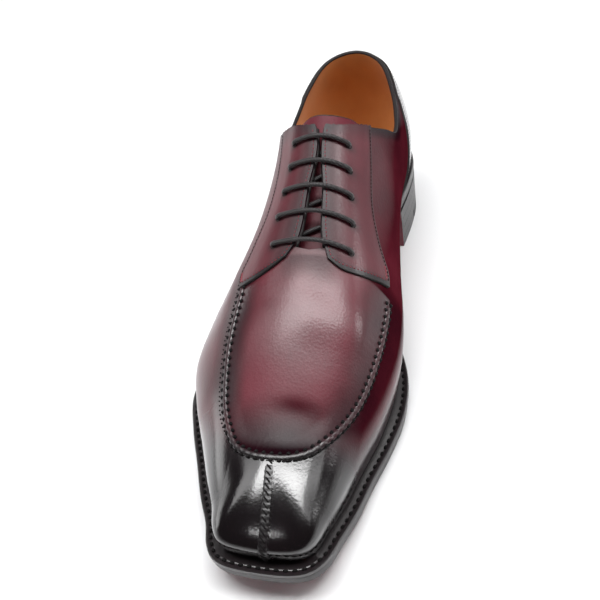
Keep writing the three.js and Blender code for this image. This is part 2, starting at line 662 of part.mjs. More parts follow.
// Eyelets: holes square to the surface, wide enough for the lace.
const caster = new THREE.Raycaster();
const sheetMesh = new THREE.Mesh(sheetGeometry, new THREE.MeshBasicMaterial({ side: THREE.DoubleSide }));
sheetMesh.updateMatrixWorld();
function surface(u, x) {
  caster.set(place(u, x, REACH), new THREE.Vector3(0, 0, -1));
  const hit = caster.intersectObject(sheetMesh)[0];
  return { point: hit.point, normal: hit.normal.clone().normalize() };
}
function lifted(u, x, off) {
  const { point, normal } = surface(u, x);
  return point.clone().addScaledVector(normal, off);
}
const HOLE_RADIUS = LACE_DIAMETER / 2 + LACE_CLEARANCE;
const HOLE_DEPTH = 4 * (WALL + OVERLAY);
function eyelet(u, x) {
  const { point, normal } = surface(u, x);
  const hole = new THREE.CylinderGeometry(HOLE_RADIUS, HOLE_RADIUS, HOLE_DEPTH, HOLE_SIDES);
  hole.applyQuaternion(new THREE.Quaternion().setFromUnitVectors(new THREE.Vector3(0, 1, 0), normal));
  return solid(hole.translate(point.x, point.y, point.z));
}
const eyelets = {
  inner: EYELETS.map(offCrest(1)),
  outer: EYELETS.map(offCrest(-1)),
};
const holes = [...eyelets.inner, ...eyelets.outer].map(([u, x]) => eyelet(u, x));
const drill = (piece) => holes.reduce((made, hole) => made.subtract(hole), piece);

const upper = drill(wall.add(seams).subtract(collar).subtract(throat));

// Facings and counter: cut between two larger forms of the last.
const overlay = shell(GAP + OVERLAY, GAP);
function facing(side, table) {
  return drill(overlay.intersect(facingArea(side, table)).subtract(collar));
}
const facingInner = facing(1, FACING_INNER);
const facingOuter = facing(-1, FACING_OUTER);

const counterFront = through(COUNTER.map(({ along, height }) => {
  const u = along * LAST_LENGTH;
  return [u, feather(u) + height * INSTEP_HEIGHT];
}), COUNTER_STEPS);
const counterTop = counterFront[counterFront.length - 1];
const counterArea = sidePrism([...counterFront, [counterTop[0], REACH / 2],
  [FAR_BACK, REACH / 2], [FAR_BACK, counterFront[0][1]]]);
const counter = overlay.intersect(counterArea).subtract(collarCut(COUNTER_DROP));

// Tongue: under the facings and the lace's runs, and close under the wall at its foot.
const LACE_ROOM = LACE_DIAMETER + 2 * GAP;
const UNDER_WALL = WALL + GAP;
const sunk = column(SINK, 'room', LACE_ROOM, true);
const tongueTop = (u) => -UNDER_WALL - sunk(u);
const tongueShell = shell(tongueTop, (u) => tongueTop(u) - TONGUE_THICKNESS);
const tongueEdge = (side) => TONGUE.map(({ along, half }) => offCrest(side)({ along, off: half }));
const tongueArea = planPrism([...through(tongueEdge(1), TONGUE_STEPS),
  ...through(tongueEdge(-1), TONGUE_STEPS).reverse()], bulgeLevel('waist'));
const tongue = tongueShell.intersect(tongueArea);

// Lace: a bar over each pair of eyelets, and a run beneath from each bar to the next.
const OVER = GAP + OVERLAY + GAP + LACE_DIAMETER / 2;
const BENEATH = -UNDER_WALL - LACE_DIAMETER / 2;
const DEEPER = BENEATH - LACE_DIAMETER / 4; // a bar's ends reach into the runs
function cord(points, steps) {
  const round = new THREE.Shape();
  round.absarc(0, 0, LACE_DIAMETER / 2, 0, Math.PI * 2);
  const path = new THREE.CatmullRomCurve3(points, false, 'centripetal');
  return solid(new THREE.ExtrudeGeometry(round, {
    steps, extrudePath: path, curveSegments: LACE_ARCS, bevelEnabled: false,
  }));
}
function bar(from, to) {
  const across = (t) => [from[0] + (to[0] - from[0]) * t, from[1] + (to[1] - from[1]) * t];
  const width = Math.hypot(to[0] - from[0], to[1] - from[1]);
  const turn = LACE_DIAMETER / width;
  const points = [lifted(...from, DEEPER), lifted(...from, 0),
    lifted(...from, OVER - LACE_DIAMETER / 2), lifted(...across(turn / 2), OVER)];
  for (let i = 1; i < BAR_POINTS; i += 1) points.push(lifted(...across(i / BAR_POINTS), OVER));
  points.push(lifted(...across(1 - turn / 2), OVER), lifted(...to, OVER - LACE_DIAMETER / 2),
    lifted(...to, 0), lifted(...to, DEEPER));
  return cord(points, BAR_STEPS);
}
function run(from, to) {
  const points = [0, 0.25, 0.5, 0.75, 1].map((t) => lifted(from[0] + (to[0] - from[0]) * t,
    from[1] + (to[1] - from[1]) * t, BENEATH));
  return cord(points, RUN_STEPS);
}
const strands = eyelets.outer.map((outer, i) => bar(outer, eyelets.inner[i]));
for (let i = 0; i + 1 < EYELETS.length; i += 1) {
  strands.push(run(eyelets.outer[i], eyelets.inner[i + 1]));
}
// The lace's lower end goes up beneath the inner facing and stops at the top eyelet.
const aside = eyelets.inner.map(([u, x]) => [u, x + 2 * LACE_DIAMETER]);
strands.push(cord([lifted(...eyelets.inner[0], BENEATH),
  ...aside.map(([u, x]) => lifted(u - LACE_DIAMETER, x, BENEATH))], 2 * RUN_STEPS));
const lace = strands.reduce((made, strand) => made.add(strand));

function mesh(name, shape, color, roughness, metalness = 0) {
  const { vertProperties, triVerts } = shape.getMesh();
  const geometry = new THREE.BufferGeometry();
  geometry.setAttribute('position', new THREE.BufferAttribute(new Float32Array(vertProperties), 3));
  geometry.setIndex(new THREE.BufferAttribute(new Uint32Array(triVerts), 1));
  geometry.computeVertexNormals();
  const material = new THREE.MeshStandardMaterial({ color, roughness, metalness });
  const made = new THREE.Mesh(geometry, material);
  made.name = name;
  return made;
}

const shoe = new THREE.Group();
shoe.name = 'split_toe_derby';
shoe.add(
  mesh('heel_rubber', heelRubber, INK, 0.6),
  mesh('heel_toplift', heelToplift, LEATHER, 0.45),
  ...lifts.map((lift, i) => mesh(`heel_lift_${i + 1}`, lift, INK, 0.4)),
  mesh('outsole', outsole, LEATHER, 0.45),
  mesh('welt', welt, INK, 0.4),
  mesh('insole', insole, new THREE.Color('#a8622c'), 0.6),
  mesh('upper', upper, LEATHER, 0.25),
  mesh('counter', counter, INK, 0.25),
  mesh('eyestay_outer', facingOuter, LEATHER, 0.25),
  mesh('eyestay_inner', facingInner, LEATHER, 0.25),
  mesh('tongue', tongue, LEATHER, 0.3),
  mesh('lace', lace, INK, 0.5),
);

export default shoe;
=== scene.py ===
import bpy
import numpy as np
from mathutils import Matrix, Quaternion, Vector
from mathutils.bvhtree import BVHTree


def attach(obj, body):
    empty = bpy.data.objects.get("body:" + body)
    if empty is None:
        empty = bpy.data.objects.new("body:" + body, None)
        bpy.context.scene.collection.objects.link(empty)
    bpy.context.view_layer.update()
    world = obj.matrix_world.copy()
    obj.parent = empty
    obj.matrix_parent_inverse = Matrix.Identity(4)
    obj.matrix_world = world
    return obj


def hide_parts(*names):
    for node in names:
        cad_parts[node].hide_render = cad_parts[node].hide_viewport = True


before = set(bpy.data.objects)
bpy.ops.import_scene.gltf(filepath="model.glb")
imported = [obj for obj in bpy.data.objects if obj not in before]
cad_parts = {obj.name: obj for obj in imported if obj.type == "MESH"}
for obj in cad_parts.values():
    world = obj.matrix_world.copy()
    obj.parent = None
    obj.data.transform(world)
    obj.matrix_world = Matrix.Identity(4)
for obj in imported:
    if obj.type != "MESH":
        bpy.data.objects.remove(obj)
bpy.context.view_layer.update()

# Leather outsole: one cut of painted burgundy bend, 5 mm thick. Its waist is cut in and bevelled to a
# soft crown, its edge is inked black and burnished, and a row of pegs holds it at the toe.
LAST_LENGTH, BALL_WIDTH, HEEL_HEIGHT, TOE_SPRING = 292, 99.4, 27, 14
HEEL_LENGTH, SOLE_THICKNESS, WELT_THICKNESS, WELT_MARGIN = 72, 5, 3, 6
WAIST_BEVEL, EDGE_STEP, GAP = 2.4, 0.4, 0.3
ROWS = 17
# Round the shoe from the heel to the toe's tip: along the last, half widths, the welt's margin and the bevel,
# as shares of the lengths above.
along = (0, .01, .041, .103, .171, .257, .36, .462, .548, .616, .685, .753, .822, .884, .935, .976, .995, 1)
half = {
    "inner": (0, .124, .232, .304, .316, .298, .274, .314, .39, .438, .45, .424, .377, .342, .303, .268, .203,
              .05),
    "outer": (0, .128, .232, .292, .3, .295, .297, .345, .442, .513, .532, .466, .372, .29, .212, .163, .103,
              -.05),
}
margin = {
    "inner": (.5, .5, .5, .5, .42, .3, .17, .25, .7, 1.08, 1.15, 1.05, 1, 1, 1, 1.05, 1.15, 1.15),
    "outer": (.5, .5, .5, .5, .42, .3, .25, .42, .95, 1.25, 1.35, 1.35, 1.35, 1.3, 1.2, 1.15, 1.15, 1.15),
}
bevel = (.1, .1, .1, .1, .15, .5, 1, 1, .6, .3, .15, .12, .1, .1, .1, .1, .1, .1)


def hermite(t, a, rise_a, b, rise_b):
    """Cubic from a to b while t goes from 0 to 1, with its rise at both ends."""
    return ((2 * t**3 - 3 * t**2 + 1) * a + (t**3 - 2 * t**2 + t) * rise_a
            + (3 * t**2 - 2 * t**3) * b + (t**3 - t**2) * rise_b)


def smooth(xs, ys, x_size=1.0, y_size=1.0, level=False):
    """Smooth curve through a table's rows, in shares of two sizes; a level one stays flat between equals."""
    xs, ys = np.asarray(xs, float) * x_size, np.asarray(ys, float) * y_size
    step = np.diff(xs)
    slope = np.diff(ys) / step
    tangent = np.concatenate([slope[:1], (slope[1:] * step[:-1] + slope[:-1] * step[1:])
                              / (step[:-1] + step[1:]), slope[-1:]])
    if level:
        tangent[1:-1][slope[1:] * slope[:-1] <= 0] = 0

    def at(x):
        x = np.clip(np.asarray(x, float), xs[0], xs[-1])
        i = np.clip(np.searchsorted(xs, x, side="right") - 1, 0, len(xs) - 2)
        t = (x - xs[i]) / step[i]
        return hermite(t, ys[i], step[i] * tangent[i], ys[i + 1], step[i] * tangent[i + 1])
    return at


def round_shoe(inner, outer, scale=1.0):
    """Column that runs round the shoe: 0 at the heel, ROWS at the toe's tip, 2 ROWS at the heel again."""
    ys = np.array(list(inner) + list(outer)[-2:0:-1]) * scale
    n = len(ys)

    def at(s):
        s = np.asarray(s, float) % n
        i = np.floor(s).astype(int) % n
        t = s - np.floor(s)
        a, b, c, d = ys[(i - 1) % n], ys[i], ys[(i + 1) % n], ys[(i + 2) % n]
        return hermite(t, b, (c - a) / 2, c, (d - b) / 2)
    return at


along_at = round_shoe(along, along, LAST_LENGTH)
half_at = round_shoe(np.array(half["inner"]), -np.array(half["outer"]), BALL_WIDTH)
margin_at = round_shoe(margin["inner"], margin["outer"], WELT_MARGIN)
bevel_at = round_shoe(bevel, bevel, WAIST_BEVEL)
heel_rise = smooth((-.05, .12, .267, .325, .411, .514, .589, .64, 1.045),
                   (1, 1, 1, .76, .459, .185, .04, 0, 0), LAST_LENGTH, HEEL_HEIGHT, True)
toe_rise = smooth((-.05, .736, .805, .873, .942, 1.01, 1.045), (0, 0, .057, .2, .443, .8, 1),
                  LAST_LENGTH, TOE_SPRING, True)


def underside(u):
    """Height of the sole's underside, raised by the heel and sprung at the toe."""
    return heel_rise(u) + toe_rise(u)


def plan(s, off=0.0):
    """Feather line moved off by a distance, as (u, x)."""
    e = 1e-3
    du = along_at(s + e) - along_at(s - e)
    dx = half_at(s + e) - half_at(s - e)
    away = off / np.hypot(du, dx)
    return along_at(s) - dx * away, half_at(s) + du * away


def place(u, x, z):
    """Points in the frame, from u along the shoe, x to the inner side and z up."""
    u, x, z = np.broadcast_arrays(u, x, z)
    return np.stack([x, HEEL_LENGTH / 2 - u, z], -1).astype(float)


def along_of(points):
    """How far along the shoe points lie."""
    return HEEL_LENGTH / 2 - points[..., 1]


def unit(vectors):
    return vectors / np.maximum(np.linalg.norm(vectors, axis=-1, keepdims=True), 1e-9)


def run_of(line):
    """Distance run from a line's start at each of its points."""
    return np.concatenate([[0], np.cumsum(np.linalg.norm(np.diff(line, axis=0), axis=1))])


def walk(line, run, at):
    """Places on a line at given distances from its start."""
    return np.stack([np.interp(at, run, column) for column in line.T], -1)


def ladder(rows, columns, wrap=False):
    """Quads of a grid of points with that many rows and columns."""
    r, c = np.meshgrid(np.arange(rows - 1), np.arange(columns if wrap else columns - 1), indexing="ij")
    d = (c + 1) % columns
    return np.stack([r * columns + c, r * columns + d, (r + 1) * columns + d, (r + 1) * columns + c],
                    -1).reshape(-1, 4)


def put(name, data):
    """Object with its data, in the scene."""
    made = bpy.data.objects.new(name, data)
    bpy.context.scene.collection.objects.link(made)
    return made


def make_piece(name, points, faces, materials, slots=None, normals=None, replaces=(), slot=None, facts=None):
    """Mesh in millimetres to a piece that rides on the shoe."""
    mesh = bpy.data.meshes.new(name)
    mesh.from_pydata((np.asarray(points).reshape(-1, 3) / 1000).tolist(), [],
                     [list(map(int, face)) for face in faces])
    for material in materials:
        mesh.materials.append(material)
    if slots is not None:
        mesh.polygons.foreach_set("material_index", np.asarray(slots, np.int32))
    mesh.polygons.foreach_set("use_smooth", np.ones(len(mesh.polygons), bool))
    for fact, values in (facts or {}).items():
        mesh.attributes.new(fact, "FLOAT", "POINT").data.foreach_set("value", np.asarray(values, np.float32))
    facing = np.array([p.normal for p in mesh.polygons])
    middle = np.array([p.center for p in mesh.polygons])
    if normals is None:
        outward = middle - middle.mean(0)
    else:
        outward = np.asarray(normals).reshape(-1, 3)[[p.vertices[0] for p in mesh.polygons]]
    if (facing * outward).sum() < 0:
        mesh.flip_normals()
    if normals is None:
        mesh.set_sharp_from_angle(angle=0.7)
    else:
        mesh.normals_split_custom_set_from_vertices(np.asarray(normals).reshape(-1, 3).tolist())
    made = put(name, mesh)
    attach(made, "root")
    if replaces:
        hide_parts(*replaces)


def colour(code):
    """sRGB hex to linear."""
    parts = [int(code[i:i + 2], 16) / 255 for i in (1, 3, 5)]
    return [p / 12.92 if p <= 0.04045 else ((p + 0.055) / 1.055) ** 2.4 for p in parts] + [1.0]


def add_node(tree, kind, inputs=None, settings=None):
    """A new node, or one that is there, with its settings; an input is a value or a (node, output)."""
    made = tree.nodes.new(kind) if isinstance(kind, str) else kind
    for key, value in (settings or {}).items():
        setattr(made, key, value)
    for key, value in (inputs or {}).items():
        if isinstance(value, tuple) and isinstance(value[0], bpy.types.Node):
            tree.links.new(value[0].outputs[value[1]], made.inputs[key])
        else:
            made.inputs[key].default_value = value
    return made


def new_material(name):
    material = bpy.data.materials.new(name)
    material.use_nodes = True
    return material, material.node_tree, material.node_tree.nodes["Principled BSDF"]


def plain(name, code, finish):
    """Material of one colour with no grain."""
    material, tree, shader = new_material(name)
    add_node(tree, shader, {"Base Color": colour(code), **finish})
    return material


def grained(name, codes, kind, scale, relief, finish, clouds=None, more=None, settings=None):
    """Material whose grain raises it by relief (strength, metres). Two colours are mixed by clouds of noise
    (scale, detail), or else by the grain. A scale of three numbers draws the grain out into fibres."""
    material, tree, shader = new_material(name)
    where = along_fibres = (add_node(tree, "ShaderNodeTexCoord"), "Object")
    if np.ndim(scale):
        along_fibres = (add_node(tree, "ShaderNodeMapping", {"Vector": where, "Scale": scale}), "Vector")
        scale = 1.0
    grain = add_node(tree, kind, {"Vector": along_fibres, "Scale": scale, **(more or {})}, settings)
    mix = height = (grain, "Distance" if kind == "ShaderNodeTexVoronoi" else "Fac")
    bump = add_node(tree, "ShaderNodeBump", {"Height": height, "Strength": relief[0], "Distance": relief[1]})
    if clouds:
        cloud = {"Vector": where, "Scale": clouds[0], "Detail": clouds[1]}
        mix = (add_node(tree, "ShaderNodeTexNoise", cloud), "Fac")
    base = colour(codes[0])
    if len(codes) > 1:
        tint = {"Fac": mix, "Color1": base, "Color2": colour(codes[1])}
        base = (add_node(tree, "ShaderNodeMixRGB", tint), "Color")
    add_node(tree, shader, {"Base Color": base, "Normal": (bump, "Normal"), **finish})
    return material


# Bend leather under burgundy sole paint: a satin film over a faintly pebbled grain, 1.5 mm across, in two
# reds that cloud over every 11 mm.
sole_paint = grained("painted bend leather", ("#5e0f20", "#7c1c30"), "ShaderNodeTexVoronoi", 650.0,
                     (0.35, 0.0002), {"Roughness": 0.34, "IOR": 1.5, "Coat Weight": 0.25,
                                      "Coat Roughness": 0.2}, clouds=(90.0, 4.0))
# Edge ink: black wax dye ironed into a cut edge, which leaves a low polish and fibres 3 mm long and 0.4 mm
# thick. It stays dull on the upper's cut edges, and is waxed once more on the sole's rim and the heel.
edge_ink = grained("burnished edge ink", ("#0b0809", "#1d1516"), "ShaderNodeTexNoise", (400, 400, 2500),
                   (0.3, 0.0002), {"Roughness": 0.6, "IOR": 1.4}, more={"Detail": 3.0})
polished_edge = grained("polished sole edge", ("#100c0d",), "ShaderNodeTexNoise", (300, 300, 3000),
                        (0.3, 0.0002), {"Roughness": 0.4, "IOR": 1.45, "Coat Weight": 0.2,
                                        "Coat Roughness": 0.2}, more={"Detail": 3.0})


def steps_round(counts):
    """Places round the inner side, with that many steps in each row, then back round the outer side."""
    steps = [np.linspace(i, i + 1, n, endpoint=False) for i, n in enumerate(counts)]
    inner = np.concatenate(steps + [[ROWS]])
    return np.concatenate([inner, (2 * ROWS - inner)[-2:0:-1]])


ACROSS, STEPS = 24, 12
all_round = steps_round([STEPS] * ROWS)
inner_s = all_round[:STEPS * ROWS + 1]
outer_s = 2 * ROWS - inner_s


def joined(parts):
    """Points and faces of several parts as one."""
    points, faces = zip(*parts)
    starts = np.cumsum([0] + [len(p) for p in points[:-1]])
    return np.concatenate(points), np.concatenate([f + start for f, start in zip(faces, starts)])


def rings_round(edges):
    """Points of rings round the shoe, one for each (off, height over the sole's underside)."""
    rings = []
    for off, height in edges:
        u, x = plan(all_round, off)
        rings.append(place(u, x, underside(u) + height))
    return np.concatenate(rings)


def plate(edges, crown=None):
    """Plate across the shoe: edges is a list of (off, height) from underneath round to the top."""
    parts = [(rings_round([(off(all_round), height) for off, height in edges]),
              ladder(len(edges), len(all_round), wrap=True))]
    t = np.linspace(0, 1, ACROSS + 1)[:, None]
    for (off, height), top in ((edges[0], False), (edges[-1], True)):
        (inner_u, inner_x), (outer_u, outer_x) = plan(inner_s, off(inner_s)), plan(outer_s, off(outer_s))
        u, x = inner_u + (outer_u - inner_u) * t, inner_x + (outer_x - inner_x) * t
        z = underside(u) + height
        if crown is not None and not top:
            z = z + crown(u) * (1 - (2 * t - 1) ** 2)
        face = ladder(ACROSS + 1, len(inner_s))
        parts.append((place(u, x, z).reshape(-1, 3), face if top else face[:, ::-1]))
    return joined(parts)


def sole_edge(s):
    return margin_at(s) - EDGE_STEP


def tread_edge(s):
    return sole_edge(s) - bevel_at(s)


waist_crown = smooth((0, 74, 96, 130, 165, 190, 300), (0, 0, -0.7, -0.8, -0.3, 0, 0), level=True)
# Round the sole's edge from the tread: (off the feather line, height).
profile = [(lambda s: tread_edge(s) - 0.5, 0.0), (tread_edge, 0.35),
           (lambda s: tread_edge(s) * 0.4 + sole_edge(s) * 0.6, 1.5), (sole_edge, 3.0),
           (sole_edge, SOLE_THICKNESS - 0.35), (lambda s: sole_edge(s) - 0.3, SOLE_THICKNESS)]
points, faces = plate(profile, waist_crown)
slots = np.ones(len(faces), int)
rim_faces = (len(profile) - 1) * len(all_round)
slots[rim_faces:rim_faces + ACROSS * (len(inner_s) - 1)] = 0
make_piece("leather_outsole", points, faces, [sole_paint, polished_edge], slots, replaces=["outsole"],
           slot="sole_leather")

# Pegs at the toe: six birch pins about 1.6 mm across, driven through the sole from the tread to hold its
# front edge down, and painted over with it.
PIN_SIDES, PEGS, PEG_PITCH, PEG_INSET, PEG_RADIUS = 12, 6, 0.92, 9.0, 0.8


def pins(name, places, radius, level, rises, material):
    """Round pins that stand in the shoe from below: their walls and the ends that show."""
    ring = np.arange(PIN_SIDES) * 2 * np.pi / PIN_SIDES
    points, faces = [], []
    for u, x in places:
        base = len(points) * PIN_SIDES
        ring_u, ring_x = u + radius * np.cos(ring), x + radius * np.sin(ring)
        points += [place(ring_u, ring_x, level(ring_u) + rise) for rise in rises]
        faces += (ladder(2, PIN_SIDES, wrap=True) + base).tolist()
        faces.append(list(range(base, base + PIN_SIDES))[::-1])
    make_piece(name, np.concatenate(points), faces, [material], slot="sole_leather")


# Painted wood: the sole's own film, darker and duller where the end grain drinks it.
peg_wood = plain("peg end under paint", "#3a0712", {"Roughness": 0.5, "IOR": 1.5})
pins("toe_pegs", [plan(ROWS - 2.3 + i * PEG_PITCH, -PEG_INSET) for i in range(PEGS)], PEG_RADIUS,
     underside, (-0.12, 0.5), peg_wood)

# Heel: three leather lifts stacked, trimmed and inked black, over a top piece whose rear quarter is rubber
# and whose front is burgundy leather. The breast is hollowed and stands bare of ink in burgundy.
TOP_PIECE, RUBBER_LENGTH, BREAST_HOLLOW, HEEL_TAPER, LIFTS = 6, 44, 2.5, 0.8, 3
BREAST_STEPS, JOINT, CORNER = 17, 0.14, 0.12
# Rubber: matt black with a gritty skin, 0.7 mm, from the mould. Brass: bare nail heads, dulled by wear.
heel_rubber = grained("moulded rubber", ("#171617",), "ShaderNodeTexNoise", 1500.0, (0.2, 0.0002),
                      {"Roughness": 0.55, "IOR": 1.52}, more={"Detail": 2.0})
brass = plain("brass nail head", "#b08d4a", {"Metallic": 1.0, "Roughness": 0.38})


def heel_outline(back, front, off, hollow):
    """Closed line (u, x) of the heel from back to front, off from the seat's edge, and what its breast is."""
    sides = []
    for turn in (1, -1):
        s = turn * np.linspace(0, 6, 241)
        u, x = plan(s, sole_edge(s) + off)
        keep = u <= front + off
        u, x = u[keep], x[keep]
        u[-1] = front + off
        sides.append((u, x))
    (inner_u, inner_x), (outer_u, outer_x) = sides
    t = np.linspace(0, 1, BREAST_STEPS)[1:-1]
    breast_u = front + off - hollow * (1 - (2 * t - 1) ** 2)
    breast_x = inner_x[-1] + (outer_x[-1] - inner_x[-1]) * t
    u = np.concatenate([inner_u[::3], inner_u[-1:], breast_u, outer_u[-1:], outer_u[::-3][:-1]])
    x = np.concatenate([inner_x[::3], inner_x[-1:], breast_x, outer_x[-1:], outer_x[::-3][:-1]])
    is_breast = np.zeros(len(u), bool)
    is_breast[len(inner_u[::3]):len(inner_u[::3]) + BREAST_STEPS] = True
    return np.maximum(u, back - off), x, is_breast


def heel_layer(name, below, above, front, hollow, materials, node, slot, back=-100):
    """Layer of the heel between two heights, with materials for its rim, its breast and its two faces. Its
    corners are broken, so that a fine joint shows between layers."""
    rings = []
    for z, off in ((below, -JOINT), (below + CORNER, 0.0), (above - CORNER, 0.0), (above, -JOINT)):
        drawn = -HEEL_TAPER * (1 - z / HEEL_HEIGHT)
        u, x, is_breast = heel_outline(back, front, off + drawn, hollow)
        rings.append(place(u, x, z))
    count = min(map(len, rings))
    rings = [r[np.linspace(0, len(r) - 1, count).round().astype(int)] for r in rings]
    faces = ladder(4, count, wrap=True).tolist()
    slots = [int(is_breast[k % count] and is_breast[(k + 1) % count]) for k in range(3 * count)] + [2, 2]
    faces += [list(range(count))[::-1], list(range(3 * count, 4 * count))]
    make_piece(name, np.concatenate(rings), faces, materials, slots, replaces=[node], slot=slot)


heel_layer("heel_rubber_quarter", 0, TOP_PIECE, RUBBER_LENGTH - 0.1, 0, [heel_rubber] * 3, "heel_rubber",
           "heel_rubber")
heel_layer("heel_top_piece", 0, TOP_PIECE, HEEL_LENGTH, BREAST_HOLLOW,
           [polished_edge, sole_paint, sole_paint], "heel_toplift", "sole_leather", back=RUBBER_LENGTH + 0.1)
lift = (HEEL_HEIGHT - TOP_PIECE) / LIFTS
for i in range(LIFTS):
    heel_layer(f"heel_lift_layer_{i + 1}", TOP_PIECE + i * lift, TOP_PIECE + (i + 1) * lift, HEEL_LENGTH,
               BREAST_HOLLOW, [polished_edge, sole_paint, polished_edge], f"heel_lift_{i + 1}",
               "black_leather")
NAILS, NAIL_RADIUS = ((62, -17), (64, 0), (62, 17)), 0.9
pins("heel_nails", NAILS, NAIL_RADIUS, lambda u: 0 * u, (-0.02, 0.6), brass)

# Welt: a strip of black leather 3 mm thick, let in between upper and sole. Its edge is trimmed square and
# burnished, and a channel in its top holds the sewing.
WALL, WELT_LEVEL, STITCH_INSET, GROOVE, SEWN_FROM = 2.2, SOLE_THICKNESS + GAP, 2.4, 0.4, 6.4
# Waxed leather: black with a brown cast, a grain of 1.4 mm under a thin coat that shines along the edge.
welt_leather = grained("waxed welt leather", ("#1a1416",), "ShaderNodeTexNoise", 700.0, (0.35, 0.0003),
                       {"Roughness": 0.36, "IOR": 1.5, "Coat Weight": 0.35, "Coat Roughness": 0.18},
                       more={"Detail": 4.0})


def welt_groove(s):
    """Depth of the welt's channel, which runs out at the waist where the welt is too narrow for it."""
    return GROOVE * np.clip((margin_at(s) - STITCH_INSET) / 2.0, 0, 1)


# Round the welt's section: under it, up its edge, through the channel and down inside the wall.
rim = margin_at(all_round)
section = [(-WALL, 0.0), (rim - 0.3, 0.0), (rim, 0.3), (rim, WELT_THICKNESS - 0.45),
           (rim - 0.35, WELT_THICKNESS)]
section += [(np.maximum(rim - STITCH_INSET - reach, -0.4 - 0.1 * reach),
             WELT_THICKNESS - depth * welt_groove(all_round))
            for reach, depth in ((-0.9, 0.0), (-0.55, 0.7), (0.0, 1.0), (0.55, 0.7), (0.9, 0.0))]
section += [(-0.9, WELT_THICKNESS), (-WALL, WELT_THICKNESS), (-WALL, 0.0)]
make_piece("sewn_welt", rings_round([(off, WELT_LEVEL + height) for off, height in section]),
           ladder(len(section), len(all_round), wrap=True), [welt_leather], replaces=["welt"],
           slot="black_leather")


# Thread: waxed linen in the welt, a stitch every 4 mm, and finer cotton on the upper. Each stitch is drawn
# tight, so that it sinks at both ends. Plies 0.4 mm across roughen it, and its wax leaves it dull.
def thread(name, code, roughness):
    return grained(name, (code,), "ShaderNodeTexNoise", 2500.0, (0.5, 0.0002),
                   {"Roughness": roughness, "IOR": 1.5, "Specular IOR Level": 0.2})


linen_thread = thread("waxed linen thread", "#060404", 0.8)
black_thread = thread("black waxed thread", "#070405", 0.7)
wine_thread = thread("wine cotton thread", "#6e2630", 0.6)
STITCH_STEPS, STITCH_SIDES = 7, 6


def stitches(line, normal, pitch, length, thick, slant=0.0, sink=0.25):
    """Points and faces of a row of stitches along a line of points on a surface."""
    run = run_of(line)
    count = max(int(run[-1] / pitch), 1)
    at = (np.arange(count) + 0.5) * run[-1] / count
    middle, up = walk(line, run, at), unit(walk(normal, run, at))
    ahead = walk(line, run, at + 0.5) - walk(line, run, at - 0.5)
    ahead = unit(ahead - (ahead * up).sum(1, keepdims=True) * up)
    side = np.cross(up, ahead)
    ahead, side = ahead * np.cos(slant) + side * np.sin(slant), side * np.cos(slant) - ahead * np.sin(slant)
    t = np.linspace(-1, 1, STITCH_STEPS)
    turn = np.arange(STITCH_SIDES) * 2 * np.pi / STITCH_SIDES
    fat = thick / 2 * np.sqrt(np.clip(1 - t**4, 0.03, 1))
    arch = thick * (0.5 - sink) - 0.45 * thick * t**2
    forward = np.repeat(t * length / 2, STITCH_SIDES)[None, :, None]
    sideways = np.outer(fat, np.cos(turn)).ravel()[None, :, None]
    rise = (np.outer(fat, np.sin(turn)) + arch[:, None]).ravel()[None, :, None]
    points = middle[:, None] + forward * ahead[:, None] + sideways * side[:, None] + rise * up[:, None]
    one = ladder(STITCH_STEPS, STITCH_SIDES, wrap=True)
    faces = one[None] + np.arange(count)[:, None, None] * STITCH_STEPS * STITCH_SIDES
    return points.reshape(-1, 3), faces.reshape(-1, 4)


def sew(name, rows, material, slot="upper_leather"):
    """One piece of several rows of stitches."""
    make_piece(name, *joined(rows), [material], slot=slot)


s = np.linspace(SEWN_FROM, 2 * ROWS - SEWN_FROM, 900)
u, x = plan(s, margin_at(s) - STITCH_INSET)
seam = place(u, x, underside(u) + WELT_LEVEL + WELT_THICKNESS - welt_groove(s))
welt_row = stitches(seam, np.tile((0, 0, 1.0), (len(seam), 1)), pitch=4.0, length=2.7, thick=1.6)
sew("welt_stitches", [welt_row], linen_thread, "black_leather")

# Insole: a leather footbed that the shoe is lasted on, held by the welt, under a full sock of natural calf
# that is glued down. It shows through the collar.
FEATHER_LEVEL, INSOLE_RISE = WELT_LEVEL + WELT_THICKNESS + GAP, 1.5
# Natural calf: warm tan in clouds of 22 mm, with open pores, drawn 0.9 mm apart, and no polish. The upper is
# lined with it too.
tan_leather = grained("natural calf lining", ("#b5753f", "#d0965c"), "ShaderNodeTexVoronoi", 1100.0,
                      (0.25, 0.0002), {"Roughness": 0.55, "IOR": 1.45, "Sheen Weight": 0.1},
                      clouds=(45.0, 5.0))


def feather(u):
    return underside(u) + FEATHER_LEVEL


def bed_edge(s):
    return 0 * s - WALL - GAP


points, faces = plate([(bed_edge, WELT_LEVEL), (bed_edge, FEATHER_LEVEL + 0.9),
                       (lambda s: bed_edge(s) - 0.6, FEATHER_LEVEL + INSOLE_RISE)])
make_piece("footbed_with_sock", points, faces, [tan_leather], replaces=["insole"], slot="lining_leather")

# Upper: calf drawn over a right last and lasted under, 2.2 mm thick with its calf lining. One shell from
# the split toe to the back, open at the collar and down the throat, with its cut edges inked black.
INSTEP_HEIGHT, BACK_HEIGHT = 85, 60
